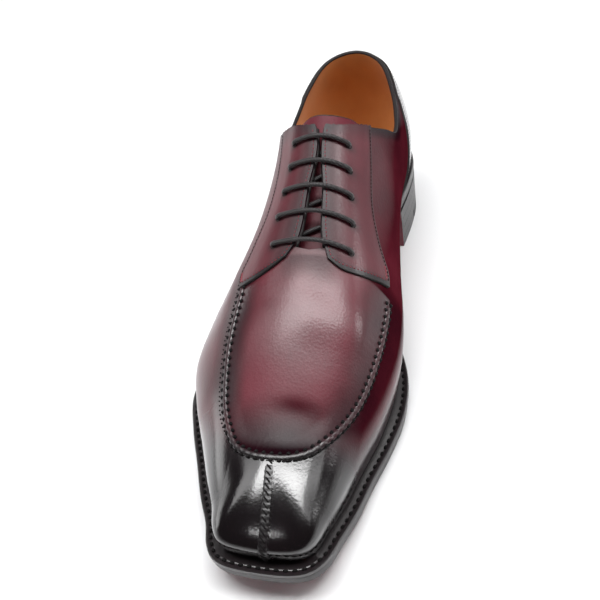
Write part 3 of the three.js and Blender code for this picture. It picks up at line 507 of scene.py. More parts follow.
# In the same rows: how far and how high the wall bulges, where its rib meets the crest, and its two curves.
bulge = {
    "inner": (.03, .03, .025, .02, .033, .07, .11, .11, .08, .05, .03, .025, .02, .02, .02, .02, .015, .015),
    "outer": (.03, .03, .025, .02, .016, .024, .032, .032, .024, .014, .014, .018, .018, .018, .018, .018,
              .015, .015),
}
girth = (.305, .294, .27, .235, .235, .259, .294, .283, .235, .2, .176, .165, .153, .141, .129, .118, .106,
         .106)
spine = (.11, .116, .13, .158, .199, .267, .36, .462, .548, .616, .685, .747, .798, .836, .86, .873, .878,
         .88)
flank = (.3, .2, .12, .12, .33, .5, .53, .54, .54, .54, .55, .58, .6, .62, .64, .66, .66, .66)
crown = (.45, .45, .45, .45, .45, .46, .46, .45, .44, .43, .42, .42, .42, .45, .5, .5, .5, .5)
bulge_at = round_shoe(bulge["inner"], bulge["outer"], BALL_WIDTH)
girth_at = round_shoe(girth, girth, INSTEP_HEIGHT)
spine_at = round_shoe(spine, spine, LAST_LENGTH)
flank_at, crown_at = round_shoe(flank, flank), round_shoe(crown, crown)
crest_along = (0, .103, .291, .394, .479, .548, .616, .685, .753, .822, .89, .959, 1.027)
crest_height = smooth(crest_along, (1.127, 1.127, 1.087, .987, .918, .846, .768, .673, .568, .469, .371,
                                    .269, .146), LAST_LENGTH, INSTEP_HEIGHT)
crest_shift = smooth(crest_along, (0, 0, .018, .052, .063, .068, .07, .07, .067, .058, .049, .049, .049),
                     LAST_LENGTH, BALL_WIDTH)
collar_along = (-.02, .027, .103, .171, .212, .233, .257, .301, .322, .342, .354, .363, .377)
collar_back = smooth(collar_along, (1.007, .99, .873, .773, .447, .268, .127, 0, 0, 0, 0, 0, 0),
                     LAST_LENGTH, BACK_HEIGHT)
collar_front = smooth(collar_along, (0, 0, 0, 0, .21, .351, .506, .76, .859, .932, .972, 1.006, 1.09),
                      LAST_LENGTH, INSTEP_HEIGHT)
throat_half = smooth((.326, .352, .365, .38, .468, .545, .562), (.06, .05, .021, .012, .034, .057, .072),
                     LAST_LENGTH, BALL_WIDTH)
THROAT_TOP, COLLAR_END, THROAT_FOOT = 0.326 * LAST_LENGTH, 0.377 * LAST_LENGTH, 0.562 * LAST_LENGTH


def topline(u):
    return feather(u) + collar_back(u) + collar_front(u)


def ramp(value, low, high):
    """0 up to low and 1 from high on, smooth between them; low may be the larger one."""
    t = np.clip((value - low) / (high - low), 0, 1)
    return t * t * (3 - 2 * t)


def collar_level(u, x):
    """Topline's height, a little lower at the outer side's front corner."""
    return topline(u) - 3.5 * ramp(crest_shift(u) - x, 12, 24) * ramp(u, 60, 84)


def last(s, q):
    """Point of the last round the shoe at s; q is -1 at the feather line, 0 at the girth, 1 at the crest."""
    s, q = np.broadcast_arrays(np.asarray(s, float), np.asarray(q, float))
    foot_u, foot_x = plan(s)
    girth_u, girth_x = plan(s, bulge_at(s))
    level = feather(foot_u) + girth_at(s)
    left = np.clip(-q, 0, 1)
    t = np.clip(q, 0, 1)
    out = (1 - t) ** 3 + 3 * (1 - t) ** 2 * t + 3 * (1 - t) * t**2 * flank_at(s)
    ridge_u = spine_at(s)
    ridge_x = crest_shift(ridge_u)
    upper_u = ridge_u + (girth_u - ridge_u) * out
    upper_x = ridge_x + (girth_x - ridge_x) * out
    rise = 3 * (1 - t) ** 2 * t * crown_at(s) + 3 * (1 - t) * t**2 + t**3
    crest = feather(upper_u) + crest_height(upper_u)
    low = q < 0
    u = np.where(low, girth_u + (foot_u - girth_u) * left**2, upper_u)
    x = np.where(low, girth_x + (foot_x - girth_x) * left**2, upper_x)
    z = np.where(low, level - girth_at(s) * left, level + (crest - level) * rise)
    return place(u, x, z)


def facing_of(s, q):
    """Outward direction of the last's surface."""
    e = 2e-3
    q = np.minimum(q, 1 - 2 * e)
    across = last(s + e, q) - last(s - e, q)
    upward = last(s, q + e) - last(s, np.maximum(q - e, -1))
    return unit(np.cross(upward, across))


def first_cut(s, cut):
    """Highest q that each rib keeps under a cut."""
    def is_cut(q):
        p = last(s, q)
        return cut(along_of(p), p[..., 0], p[..., 2])

    tries = np.linspace(-1, 1, 500)
    gone = is_cut(tries[:, None])
    first = np.where(gone.any(0), gone.argmax(0), len(tries) - 1)
    low, high = tries[np.maximum(first - 1, 0)], tries[first]
    for _ in range(12):
        mid = (low + high) / 2
        out = is_cut(mid)
        low, high = np.where(out, low, mid), np.where(out, mid, high)
    return np.where(gone.any(0), low, 1.0)


ribs = steps_round([12, 12, 12, 14, 14, 28, 22, 16, 14, 14, 12, 12, 12, 12, 12, 10, 10])
EDGE_ROUND = 1.0


def opening(u, x, z):
    """Whether a place of the last is open: above the collar, or in the slit down the throat."""
    collar = (u < COLLAR_END) & (z > collar_level(u, x) - EDGE_ROUND)
    slit = (u > THROAT_TOP) & (u < THROAT_FOOT) & (np.abs(x - crest_shift(u)) < throat_half(u) + 0.6)
    return collar | (slit & (z > 60))


top_q = first_cut(ribs, opening)
share = np.concatenate([np.linspace(-1, 0, 13)[:-1], np.linspace(0, 1, 41)])
q = np.where(share[:, None] < 0, share[:, None], share[:, None] * top_q[None])
skin = last(ribs[None], q)
skin_n = facing_of(ribs[None], q)
whole = top_q > 0.9999
mirror = (-np.arange(len(ribs))) % len(ribs)
skin_n[-1, whole] = (skin_n[-1] + skin_n[-1][mirror])[whole]
skin_n = unit(skin_n)
# The apron's line, as rows of (along, off the crest line inwards, off it outwards).
APRON = ((.572, .358, .355), (.61, .36, .348), (.651, .355, .351), (.702, .34, .351), (.753, .314, .334),
         (.795, .276, .303), (.836, .217, .245), (.863, .158, .186), (.877, .085, .105), (.881, 0, 0))


def round_line(points, count):
    """Smooth line through a few points, at even steps."""
    p = np.asarray(points, float)
    gap = np.linalg.norm(np.diff(p, axis=0), axis=1) ** 0.5
    t = np.concatenate([[0], np.cumsum(gap)])
    fine = np.stack([smooth(t, column)(np.linspace(0, t[-1], 20 * len(p))) for column in p.T], -1)
    run = run_of(fine)
    return walk(fine, run, np.linspace(0, run[-1], count))


def off_crest(rows):
    """(u, x) of rows of (along, off), off the crest line as shares of length and ball width."""
    rows = np.asarray(rows, float)
    u = rows[:, 0] * LAST_LENGTH
    return np.stack([u, crest_shift(u) + rows[:, 1] * BALL_WIDTH], -1)


apron_plan = round_line(np.concatenate([off_crest([(a, i) for a, i, o in APRON[:-1]]),
                                        off_crest([(a, -o) for a, i, o in APRON])[::-1]]), 260)


def inside_line(u, x, line):
    """Whether places lie within a line closed by its chord."""
    within = np.zeros(np.shape(u), bool)
    for (a, b), (c, d) in zip(line, np.roll(line, -1, axis=0)):
        if a != c:
            within ^= ((a > u) != (c > u)) & (x < (d - b) * (u - a) / (c - a) + b)
    return within


def apron_distance(u, x):
    """Distance in plan from the apron's line."""
    flat = np.stack([u, x], -1).reshape(-1, 2)
    return np.sqrt(((flat[:, None] - apron_plan[None, ::4]) ** 2).sum(-1)).min(1).reshape(u.shape)


def bulb(value, middle, spread, power=2):
    """1 at the middle, falling away smoothly over the spread."""
    return np.exp(-((value - middle) / spread) ** power)


def relief(p):
    """Rise of the leather off the last, in mm, on a shoe with no foot in it."""
    u, x = along_of(p), p[..., 0]
    c = x - crest_shift(u)
    within = ramp(apron_distance(u, x), 1, 8) * inside_line(u, x, apron_plan)
    rise = -0.22 * bulb(u - 0.12 * c, 188, 5) * bulb(c, 0, 26, 4)  # crease across the ball
    rise += -0.6 * bulb(u, 210, 10) * bulb(x, 16, 11)  # hollow ahead of it, to the inner side
    rise += -0.35 * bulb(u, 176, 7) * bulb(np.abs(c), 14, 7)  # two dents at the facings' front
    rise += 1.4 * bulb(u, 190, 14) * bulb(x, 32, 9) * within  # fullness over the big toe's joint
    rise += -0.95 * bulb(u, 244, 15) * bulb(c, 0, 30, 4) * within  # apron's front, sunk inside its seam
    rise += -0.5 * bulb(u, 237, 6) * bulb(x, 11, 13) * within  # small dent that catches the lamp
    toe = ramp(u, 232, 262) * ramp(p[..., 2] - feather(u), 3, 12)  # toe, drawn to a faint ridge
    return rise + toe * (0.4 * bulb(c, 0, 8) - 0.4 * np.minimum((c / 18) ** 2, 1.3))


outer = skin + skin_n * relief(skin)[..., None]
slope = np.stack([relief(skin + 0.3 * axis) - relief(skin - 0.3 * axis) for axis in np.eye(3)], -1) / 0.6
slope -= (slope * skin_n).sum(-1, keepdims=True) * skin_n
worn_n = unit(skin_n - slope)
upward = skin[-1] - skin[-2]
upward = unit(upward - (upward * skin_n[-1]).sum(-1, keepdims=True) * skin_n[-1])
rim, rim_n = [], []
for a in np.linspace(0, np.pi, 9)[1:-1]:
    flat = skin[-1] - skin_n[-1] * WALL * (1 - np.cos(a)) / 2
    rim.append(np.where(whole[:, None], flat, flat + upward * EDGE_ROUND * np.sin(a)))
    rim_n.append(skin_n[-1] * np.cos(a) + upward * np.sin(a))
inside = (skin - skin_n * WALL)[::-1]
shell = np.concatenate([outer, np.array(rim), inside])
shell_n = np.concatenate([worn_n, np.array(rim_n), -skin_n[::-1]])
faces = ladder(len(shell), len(ribs), wrap=True)
slots = np.repeat([0, 1, 2], np.array([len(outer) - 1, len(rim) + 1, len(inside) - 1]) * len(ribs))
closed = np.tile(whole & np.roll(whole, -1), len(shell) - 1) & (slots == 1)
faces, slots = faces[~closed], slots[~closed]


def patina_and_shade(p):
    """Darkness and polish at each point, both 0 to 1: wax worked in, and painted shade below the lowest lace
    bar and in a small dent on the apron.
    """
    u = along_of(p)
    c = p[..., 0] - crest_shift(u)
    over = p[..., 2] - feather(u)
    far = apron_distance(u, p[..., 0])
    on_apron = inside_line(u, p[..., 0], apron_plan)
    near_collar = np.where(u < 112, ramp(topline(np.minimum(u, 110)) - p[..., 2], 14, 0), 0)
    dark = np.where(on_apron, 0.12, 0.24) + ramp(u, 150, 60) * 0.1
    for shade in (0.8 * ramp(u, 218, 260),  # towards the toe
                  np.where(on_apron, 0, ramp(u, 228, 258)),  # black toe outside the apron
                  0.52 * bulb(far, 0, 10) * ramp(over, 10, 26),  # beside the apron's seam
                  0.8 * ramp(over, 26, 6) * ramp(u, 100, 230),  # foot of the walls
                  0.9 * ramp(u, 62, 12),  # back
                  0.75 * near_collar):
        dark = np.maximum(dark, shade)
    later = 25 * ramp(c, 12, 26)
    polish = np.maximum(ramp(u, 205 + later, 252 + later / 3), 0.27 * ramp(c, 33, 20))
    polish = np.where(on_apron, 0.17 + 0.23 * ramp(u, 225, 195), polish)
    for gloss in (0.18 * ramp(-c, 0, 20), 0.55 * ramp(-c, 38, 48),  # outer half and its wall
                  0.6 * ramp(over, 24, 14) * ramp(u, 90, 130)):  # foot of the walls
        polish = np.maximum(polish, gloss)
    polish -= 0.4 * bulb(u, 272, 8) * ramp(np.abs(c), 12, 20)  # rubbed toe corners
    polish -= 0.35 * bulb(far, 0, 5) * ramp(u, 245, 256)  # apron seam at the toe
    beside = bulb(c, -31, 6) * ramp(u, 170, 190) * ramp(u, 245, 225)
    # Painted shade: the apron's top just below the lowest lace bar is darkened where the bar and the facings
    # shade it.
    painted_shade_under_lace = ramp(u, 182, 168) * bulb(c, 0, 14, 4) * on_apron
    # Painted shade: the small dent on the apron is darkened, as it looks where it reflects no lamp.
    spot = bulb(u, 233, 3.5) * bulb(p[..., 0], 12, 10)
    return {"wax": np.clip(dark + 0.14 * beside + 0.3 * painted_shade_under_lace + 0.16 * spot, 0, 1).ravel(),
            "polish": np.clip(polish + 0.2 * beside - 0.2 * painted_shade_under_lace - 0.14 * spot, 0, 1).ravel()}


# Box calf dyed burgundy, waxed and burnished by hand: colour in clouds of 35 mm, black where the wax is
# thick, and a polish that turns to a mirror as the wax deepens. The same darkening paints shade in below the
# lowest lace bar, in a small dent on the apron and along the facings' front edges. Its pores, 0.2 mm on a
# real hide, are drawn 1.1 mm apart so that they show, with fine creases of 3 mm.
WAX_AND_SHADE_COLOURS = ((0.0, "#63242f"), (0.25, "#44121b"), (0.5, "#2b0a12"), (0.75, "#180a10"), (1.0, "#050304"))
calf, tree, shader = new_material("burnished burgundy calf")
where = (add_node(tree, "ShaderNodeTexCoord"), "Object")
wax = add_node(tree, "ShaderNodeAttribute", settings={"attribute_name": "wax"})
polish = add_node(tree, "ShaderNodeAttribute", settings={"attribute_name": "polish"})


def by_polish(start, end, at_start, at_end):
    """Value that goes from one to another while the polish goes from start to end."""
    span = {"From Min": start, "From Max": end, "To Min": at_start, "To Max": at_end}
    return (add_node(tree, "ShaderNodeMapRange", {"Value": (polish, "Fac"), **span}), "Result")


cloud = add_node(tree, "ShaderNodeTexNoise", {"Vector": where, "Scale": 28.0, "Detail": 5.0,
                                              "Roughness": 0.6})
wisps = add_node(tree, "ShaderNodeMath", {0: (cloud, "Fac"), 1: 0.5, 2: -0.25}, {"operation": "MULTIPLY_ADD"})
depth = add_node(tree, "ShaderNodeMath", {0: (wax, "Fac"), 1: (wisps, "Value")},
                 {"operation": "ADD", "use_clamp": True})
dye_and_shade = add_node(tree, "ShaderNodeValToRGB", {"Fac": (depth, "Value")})
dye_and_shade.color_ramp.interpolation = "B_SPLINE"
for stop, (at, code) in enumerate(WAX_AND_SHADE_COLOURS):
    point = dye_and_shade.color_ramp.elements[stop] if stop < 2 else dye_and_shade.color_ramp.elements.new(at)
    point.position = at
    point.color = colour(code)
pores = add_node(tree, "ShaderNodeTexVoronoi", {"Vector": where, "Scale": 900.0})
creases = add_node(tree, "ShaderNodeTexNoise", {"Vector": where, "Scale": 350.0, "Detail": 5.0})
grain = add_node(tree, "ShaderNodeMath", {0: (pores, "Distance"), 1: (creases, "Fac")}, {"operation": "ADD"})
fine = add_node(tree, "ShaderNodeBump", {"Height": (grain, "Value"), "Distance": 0.0002,
                                         "Strength": by_polish(0.1, 0.9, 0.24, 0.06)})
rubbed = add_node(tree, "ShaderNodeTexNoise", {"Vector": where, "Scale": 900.0, "Detail": 3.0})
bump = add_node(tree, "ShaderNodeBump", {"Height": (rubbed, "Fac"), "Distance": 0.0002,
                                         "Strength": by_polish(0.3, 1.0, 0.02, 0.14),
                                         "Normal": (fine, "Normal")})
add_node(tree, shader, {"Base Color": (dye_and_shade, "Color"), "Roughness": by_polish(0.0, 1.0, 0.5, 0.13),
                        "Normal": (bump, "Normal"), "IOR": 1.5,
                        "Specular IOR Level": by_polish(0.0, 0.3, 0.0, 0.5),
                        "Coat Weight": by_polish(0.3, 1.0, 0.0, 1.0), "Coat Roughness": 0.13,
                        "Coat Normal": (bump, "Normal"), "Coat IOR": 1.5})
make_piece("calf_upper", shell, faces, [calf, edge_ink, tan_leather], slots, shell_n,
           replaces=["upper"], slot="upper_leather", facts=patina_and_shade(shell))

# Apron seam: two edges of calf stood up and sewn through by hand into a raised cord round the apron, and a
# second one down the middle of the toe, with a stitch showing at each foot.
SEAM_PITCH, APRON_WIDTH, APRON_RISE, SPLIT_WIDTH, SPLIT_RISE, SEAM_FADE = 3.7, 3.0, 1.1, 4.6, 0.9, 5.0
cast_s = steps_round([16] * ROWS)
cast_q = np.linspace(-1, 1, 70)[:, None]
cast_points, cast_normals = last(cast_s, cast_q).reshape(-1, 3), facing_of(cast_s, cast_q).reshape(-1, 3)
cast_faces = ladder(len(cast_q), len(cast_s), wrap=True)
cast_faces = np.concatenate([cast_faces[:, [0, 1, 2]], cast_faces[:, [0, 2, 3]]])
cast = BVHTree.FromPolygons([Vector(p) for p in cast_points], cast_faces.tolist())


def on_last(line, off=0.0):
    """Points and outward directions of the last above (u, x) places, moved off its surface."""
    points, normals = np.empty((len(line), 3)), np.empty((len(line), 3))
    for k, (u, x) in enumerate(line):
        hit, _, index, _ = cast.ray_cast(Vector((x, HEEL_LENGTH / 2 - u, 300.0)), Vector((0, 0, -1)))
        a, b, c = cast_points[cast_faces[index]] - np.array(hit)
        nearness = [np.linalg.norm(np.cross(*pair)) for pair in ((b, c), (c, a), (a, b))]
        points[k], normals[k] = hit, unit(np.array(nearness) @ cast_normals[cast_faces[index]])
    return points + normals * np.broadcast_to(off, len(line))[:, None], normals


def raised_seam(line, normal, width, height, pitch):
    """Ridge of leather over a line, pinched a little at each stitch and running out over its ends."""
    side = np.cross(normal, unit(np.gradient(line, axis=0)))
    run = run_of(line)
    beat = np.cos(2 * np.pi * run / pitch)
    tall = height * (1 - 0.05 * beat) * ramp(np.minimum(run, run[-1] - run), 0, SEAM_FADE)
    wide = width / 2 * (1 - 0.03 * beat)
    turn = np.linspace(0, np.pi, 13)
    rings = [line + side * (wide * np.sign(np.cos(a)) * np.abs(np.cos(a)) ** 0.8)[:, None]
             + normal * ((tall * np.sin(a) ** 0.75)[:, None] - 0.25) for a in turn]
    return np.concatenate(rings), ladder(len(turn), len(line)), side


def on_side(line):
    """Points of the last nearest to a line's, with their outward directions."""
    points, normals = np.empty_like(line), np.empty_like(line)
    for k, spot in enumerate(line):
        hit, _, index, _ = cast.find_nearest(Vector(spot))
        points[k], normals[k] = hit, unit(cast_normals[cast_faces[index]].mean(0))
    return points, normals


# Down the toe, the seam keeps a line a little to the inner side of the crest.
split_off = smooth((.878, .94, .98, 1.03), (0, .018, .027, .033), LAST_LENGTH, BALL_WIDTH)
split_q = np.linspace(1, -0.97, 200)
low, high = np.full(200, ROWS - 3.0), np.full(200, ROWS + 3.0)
for _ in range(30):
    mid = (low + high) / 2
    p = last(mid, split_q)
    past = p[:, 0] < crest_shift(along_of(p)) + split_off(along_of(p))
    low, high = np.where(past, low, mid), np.where(past, mid, high)
split_line, split_normal = last(mid, split_q), facing_of(mid, split_q)
ahead_of_apron = along_of(split_line) > .881 * LAST_LENGTH
split_line, split_normal = split_line[ahead_of_apron], split_normal[ahead_of_apron]
apron_line, apron_normal = on_last(round_line(apron_plan, 1100))
joining = 2.6 * (1 - ramp(along_of(apron_line), 236, 254))[:, None]
outer_half = np.arange(len(apron_line)) > 0.53 * len(apron_line)
# Rows of stitches along the ridges, in mm: "off" is out from the apron, or to the toe seam's inner side.
APRON_ROWS = (
    {"off": -1.7, "pitch": SEAM_PITCH, "length": 2.2, "thick": 1.7, "slant": 0.3},
    {"off": 1.4, "pitch": SEAM_PITCH, "length": 2.3, "thick": 1.6, "lift": 0.3},
    {"off": 1.2 + joining, "pitch": 2.3, "length": 1.0, "thick": 0.7})
SPLIT_ROWS = [{"off": off, "pitch": 2.4, "length": 2.0, "thick": 0.7} for off in (-2.5, 2.5)]
seam_parts, thread_rows = [], []
for line, normal, width, height, rows in (
        (apron_line, apron_normal, APRON_WIDTH, APRON_RISE, APRON_ROWS),
        (split_line, split_normal, SPLIT_WIDTH, SPLIT_RISE, SPLIT_ROWS)):
    ridge, quads, side = raised_seam(line, normal, width, height, rows[0]["pitch"])
    seam_parts.append((ridge, quads))
    for row in rows:
        row = dict(row)
        off, lift = row.pop("off"), row.pop("lift", 0)
        kept = slice(None) if np.ndim(off) == 0 else outer_half
        moved, up = on_side((line + side * off)[kept])
        thread_rows.append(stitches(moved + up * (lift - 0.12), up, **row))
    if line is apron_line:
        groove, up = on_side((line + side * 1.75)[~outer_half])
        inner_row = stitches(groove - up * 0.1, up, pitch=2.4, length=2.5, thick=0.9)
thread_rows.append(stitches(split_line + split_normal * 0.5, split_normal, pitch=2.7, length=3.9,
                            thick=0.9, slant=0.75))
thread_rows.append(inner_row)
points, faces = joined(seam_parts)
rubbed_in = patina_and_shade(points)
make_piece("apron_and_toe_seams", points, faces, [calf], slot="upper_leather",
           facts={"wax": np.maximum(rubbed_in["wax"], 0.4),
                  "polish": np.clip(rubbed_in["polish"], 0.3, 0.45)})
sew("apron_and_toe_stitches", thread_rows, black_thread)

# Facings: each quarter's front, cut from the same calf and lapped over the vamp. Five blind eyelets, a thick
# black front edge in an S, and one row of stitches inside every edge. The black of that front edge is its
# ink, widened on the top by a painted shadow of the lap.
# Outline of each, from the slit's foot round the front and up the outside: (along, off the crest line).
FACINGS = {
    1: ((.573, .094), (.581, .16), (.571, .265), (.553, .345), (.527, .335), (.49, .29), (.45, .255),
        (.41, .24), (.32, .232), (.28, .232)),
    -1: ((.573, .115), (.586, .18), (.597, .26), (.602, .35), (.572, .375), (.525, .325), (.475, .268),
         (.42, .245), (.33, .235), (.28, .235)),
}
EYELETS = ((.551, .186), (.506, .178), (.465, .16), (.424, .142), (.384, .131))
OVERLAY, SHEET_ROWS, SHEET_COLUMNS, ROUNDING = 1.5, 110, 46, 3


def collar_u(off, side):
    """Where the topline crosses a line that keeps its share of the ball width off the crest line."""
    tries = np.linspace(.25 * LAST_LENGTH, .376 * LAST_LENGTH, 60)
    line = np.stack([tries, crest_shift(tries) + side * off * BALL_WIDTH], -1)
    p, _ = on_last(line)
    above = p[:, 2] > collar_level(tries, line[:, 1]) - 0.2
    return tries[above].max() if above.any() else tries[0]


def beyond(grid):
    """Grid with one more row at each end and one more column at each side, carried straight on."""
    grid = np.concatenate([2 * grid[:1] - grid[1:2], grid, 2 * grid[-1:] - grid[-2:-1]])
    return np.concatenate([2 * grid[:, :1] - grid[:, 1:2], grid, 2 * grid[:, -1:] - grid[:, -2:-1]], 1)


def padded(grid, width=1):
    """Grid with its border repeated outwards."""
    return np.pad(grid, ((width, width), (width, width)) + ((0, 0),) * (grid.ndim - 2), "edge")


def overlay(name, base, normal, thick, node, slot, wax, materials, polish=0.38, inked_sides=True):
    """Sheet laid on the last, its border rounded down: base and normal are grids of points and directions."""
    rings, rings_n = base, normal
    drop = np.zeros(base.shape[:2])
    # Rings beyond the border: mm out, share of the thickness down, and how far the normal leans out.
    for out, down, lean in ((0.16, 0.14, 0.6), (0.1, 0.5, 6.0), (0.04, 1.0, 6.0)):
        near = padded(rings)
        away = unit(beyond(rings) - near)
        edge = np.ones(away.shape[:2], bool)
        edge[1:-1, 1:-1] = False
        rings = np.where(edge[..., None], near + away * out, near)
        rings_n = np.where(edge[..., None], padded(rings_n) + away * lean, padded(rings_n))
        drop = np.where(edge, down, padded(drop))
    height = padded(np.broadcast_to(thick, base.shape[:2]), ROUNDING) * (1 - drop)
    points, rings_n = rings + padded(normal, ROUNDING) * height[..., None], unit(rings_n)
    rounded = drop > 0.1
    rim = rounded[1:, 1:] | rounded[:-1, :-1] | rounded[1:, :-1] | rounded[:-1, 1:]
    if not inked_sides:
        rim[ROUNDING:-ROUNDING] = False
    faces = ladder(*points.shape[:2])
    if np.dot(np.cross(points[5, 6] - points[5, 5], points[6, 5] - points[5, 5]), rings_n[5, 5]) < 0:
        faces = faces[:, ::-1]
    facts = {fact: padded(np.broadcast_to(values, base.shape[:2]), ROUNDING).ravel()
             for fact, values in (("wax", wax), ("polish", polish))}
    make_piece(name, points, faces, materials, rim.astype(int).ravel(), rings_n, replaces=[node], slot=slot,
               facts=facts)


# Eyelet: a punched hole with no metal in it, drawn as a near-black lip round a near-black disc with no hole
# behind it. The disc is painted shade that stands for the hole's depth, and only the lip catches light.
painted_hole_shade = plain("shadowed eyelet", "#050404", {"Roughness": 0.8, "IOR": 1.4})
SLIT_TURN, HOLE_SIDES = 0.55 * LAST_LENGTH, 16
# Rings of an eyelet's rounded lip: (radius, rise).
HOLE_RINGS = ((2.0, -0.15), (1.7, 0.12), (1.3, -0.1))
facing_rows, outer_rows, tack_rows, hole_points, hole_faces = [], [], [], [], []
for side, name in ((1, "inner"), (-1, "outer")):
    front, outside = round_line(FACINGS[side][:4], 40), round_line(FACINGS[side][3:], 120)[::-1]
    outside = round_line(outside[outside[:, 0] * LAST_LENGTH >= collar_u(0.235, side)], SHEET_ROWS)
    slit_u = np.linspace(collar_u(0.035, side), front[0, 0] * LAST_LENGTH, SHEET_ROWS)
    slit_off = (throat_half(np.minimum(slit_u, THROAT_FOOT)) + 0.5) / BALL_WIDTH
    turning = slit_u > SLIT_TURN
    slit_off[turning] = np.interp(slit_u[turning], (SLIT_TURN, slit_u[-1]),
                                  (slit_off[turning][0], front[0, 1]))
    slit = np.stack([slit_u / LAST_LENGTH, slit_off], -1)
    top_off = np.linspace(slit_off[0], outside[0, 1], SHEET_COLUMNS)
    top = np.stack([[collar_u(off, side) / LAST_LENGTH for off in top_off], top_off], -1)
    front = round_line(front, SHEET_COLUMNS)
    a, b = np.linspace(0, 1, SHEET_COLUMNS)[None], np.linspace(0, 1, SHEET_ROWS)[:, None]
    ka, kb = a[..., None], b[..., None]
    flat = ((1 - ka) * slit[:, None] + ka * outside[:, None] + (1 - kb) * top + kb * front
            - (1 - ka) * (1 - kb) * slit[0] - ka * (1 - kb) * outside[0] - (1 - ka) * kb * slit[-1]
            - ka * kb * outside[-1])
    base, normal = (grid.reshape(flat.shape[:2] + (3,))
                    for grid in on_last(off_crest(flat.reshape(-1, 2) * (1, side))))
    thick = (OVERLAY + 0.1) * (1 - 0.72 * ramp(a, 0.55, 1.0) * (1 - ramp(b, 0.8, 1.0)))
    dent = sum(bulb(np.hypot((flat[..., 0] - u) * LAST_LENGTH, (flat[..., 1] - off) * BALL_WIDTH), 0, 2.4)
               for u, off in EYELETS)
    to_sides = np.minimum(a * SHEET_COLUMNS, (1 - a) * SHEET_COLUMNS * 3) * 0.6
    to_front = (1 - b) * SHEET_ROWS
    # The last term blacks a band about 2 mm wide along the front edge: partly the inked edge, partly painted
    # shadow of the lap.
    wax = np.clip(0.2 + 0.22 * ramp(a, 0.5, 0.1) + 0.3 * bulb(np.minimum(to_sides, to_front * 0.8), 0, 3)
                  + 0.3 * dent + 0.2 * ramp(b, 0.12, 0.0) + 0.8 * bulb(to_front, 0, 2.4), 0, 1)
    overlay(f"facing_{name}", base, normal, thick - 0.45 * dent, f"eyestay_{name}", "upper_leather", wax,
            [calf, edge_ink], 0.4 - 0.2 * ramp(a, 0.42, 0.2) - 0.1 * ramp(a, 0.6, 0.8), inked_sides=False)
    lifted = base + normal * (thick - 0.05)[..., None]
    slit_row, front_row, outer_row = (slice(4, -3), 3), (-4, slice(3, -2)), (slice(2, -3), -2)
    for row in (slit_row, front_row):
        facing_rows.append(stitches(lifted[row], normal[row], pitch=1.9, length=1.35, thick=0.5))
    outer_rows.append(stitches(lifted[outer_row], normal[outer_row], pitch=1.9, length=1.6, thick=0.5,
                               sink=0.15))
    tack, up = lifted[-14:-4, -3], normal[-14:-4, -3]
    for slant in (0.75, -0.75):
        tack_rows.append(stitches(tack + up * 0.1, up, pitch=1.5, length=2.1, thick=0.4, slant=slant))
    spots, ups = on_last(off_crest([(u, side * off) for u, off in EYELETS]), OVERLAY - 0.25)
    for spot, up in zip(spots, ups):
        ahead = unit(np.cross(up, (1.0, 0, 0)))
        turn = np.arange(HOLE_SIDES)[:, None] * 2 * np.pi / HOLE_SIDES
        circle = np.cos(turn) * ahead + np.sin(turn) * np.cross(up, ahead)
        start = HOLE_SIDES * len(hole_points)
        hole_points += [spot + radius * circle + up * rise for radius, rise in HOLE_RINGS]
        hole_faces += (ladder(len(HOLE_RINGS), HOLE_SIDES, wrap=True) + start).tolist()
        hole_faces.append(list(range(start + 2 * HOLE_SIDES, start + 3 * HOLE_SIDES)))
sew("facing_stitches", facing_rows, wine_thread)
sew("facing_outline_stitches", outer_rows, thread("dark wine thread", "#1c070b", 0.7))
sew("facing_tacks", tack_rows, thread("rose cotton thread", "#8d4a50", 0.7))
make_piece("eyelet_holes", np.concatenate(hole_points), hole_faces, [painted_hole_shade], slot="upper_leather")

# Counter: a stiff black calf overlay round the heel, lasted under with the quarters. Its front edge is cut
# in a sweep and sewn down with two rows.
# Black calf: nearly black in faint wine clouds of 33 mm under a high wax polish, with hardly any pores.
counter_leather = grained("polished black calf", ("#0c0708", "#241013"), "ShaderNodeTexVoronoi", 900.0,
                          (0.06, 0.0002), {"Roughness": 0.22, "IOR": 1.5, "Coat Weight": 0.6,
                                           "Coat Roughness": 0.1}, clouds=(30.0, 4.0))
COUNTER_DROP, COUNTER_THICKNESS = 3.5, 1.1
counter_edge = smooth((-.104, .041, .145, .331, .456, .533), (.262, .25, .2, .152, .137, .122),
                      INSTEP_HEIGHT, LAST_LENGTH)


def counter_cut(inset):
    """Whether a place of the last is beyond the counter's edge, moved in by an inset."""
    return lambda u, x, z: ((z > topline(u) - COUNTER_DROP - inset)
                            | (u > counter_edge(z - feather(u)) - inset))


back_s = np.linspace(-5.05, 5.05, 240)
counter_q = first_cut(back_s, counter_cut(0.0))
keep = counter_q > -0.985
back_s, counter_q = back_s[keep], counter_q[keep]
q = -1 + (counter_q + 1) * np.linspace(0, 1, 44)[:, None]
overlay("counter_overlay", last(back_s, q), facing_of(back_s, q), COUNTER_THICKNESS, "counter",
        "black_leather", 0.0, [counter_leather, edge_ink])
counter_rows = []
for inset in (2.2, 4.6):
    qs = first_cut(back_s, counter_cut(inset))
    hold = qs > -0.9
    line, up = last(back_s[hold], qs[hold]), facing_of(back_s[hold], qs[hold])
    counter_rows.append(stitches(line + up * 0.9, up, pitch=2.2, length=1.5, thick=0.4))
sew("counter_stitches", counter_rows, black_thread, "black_leather")

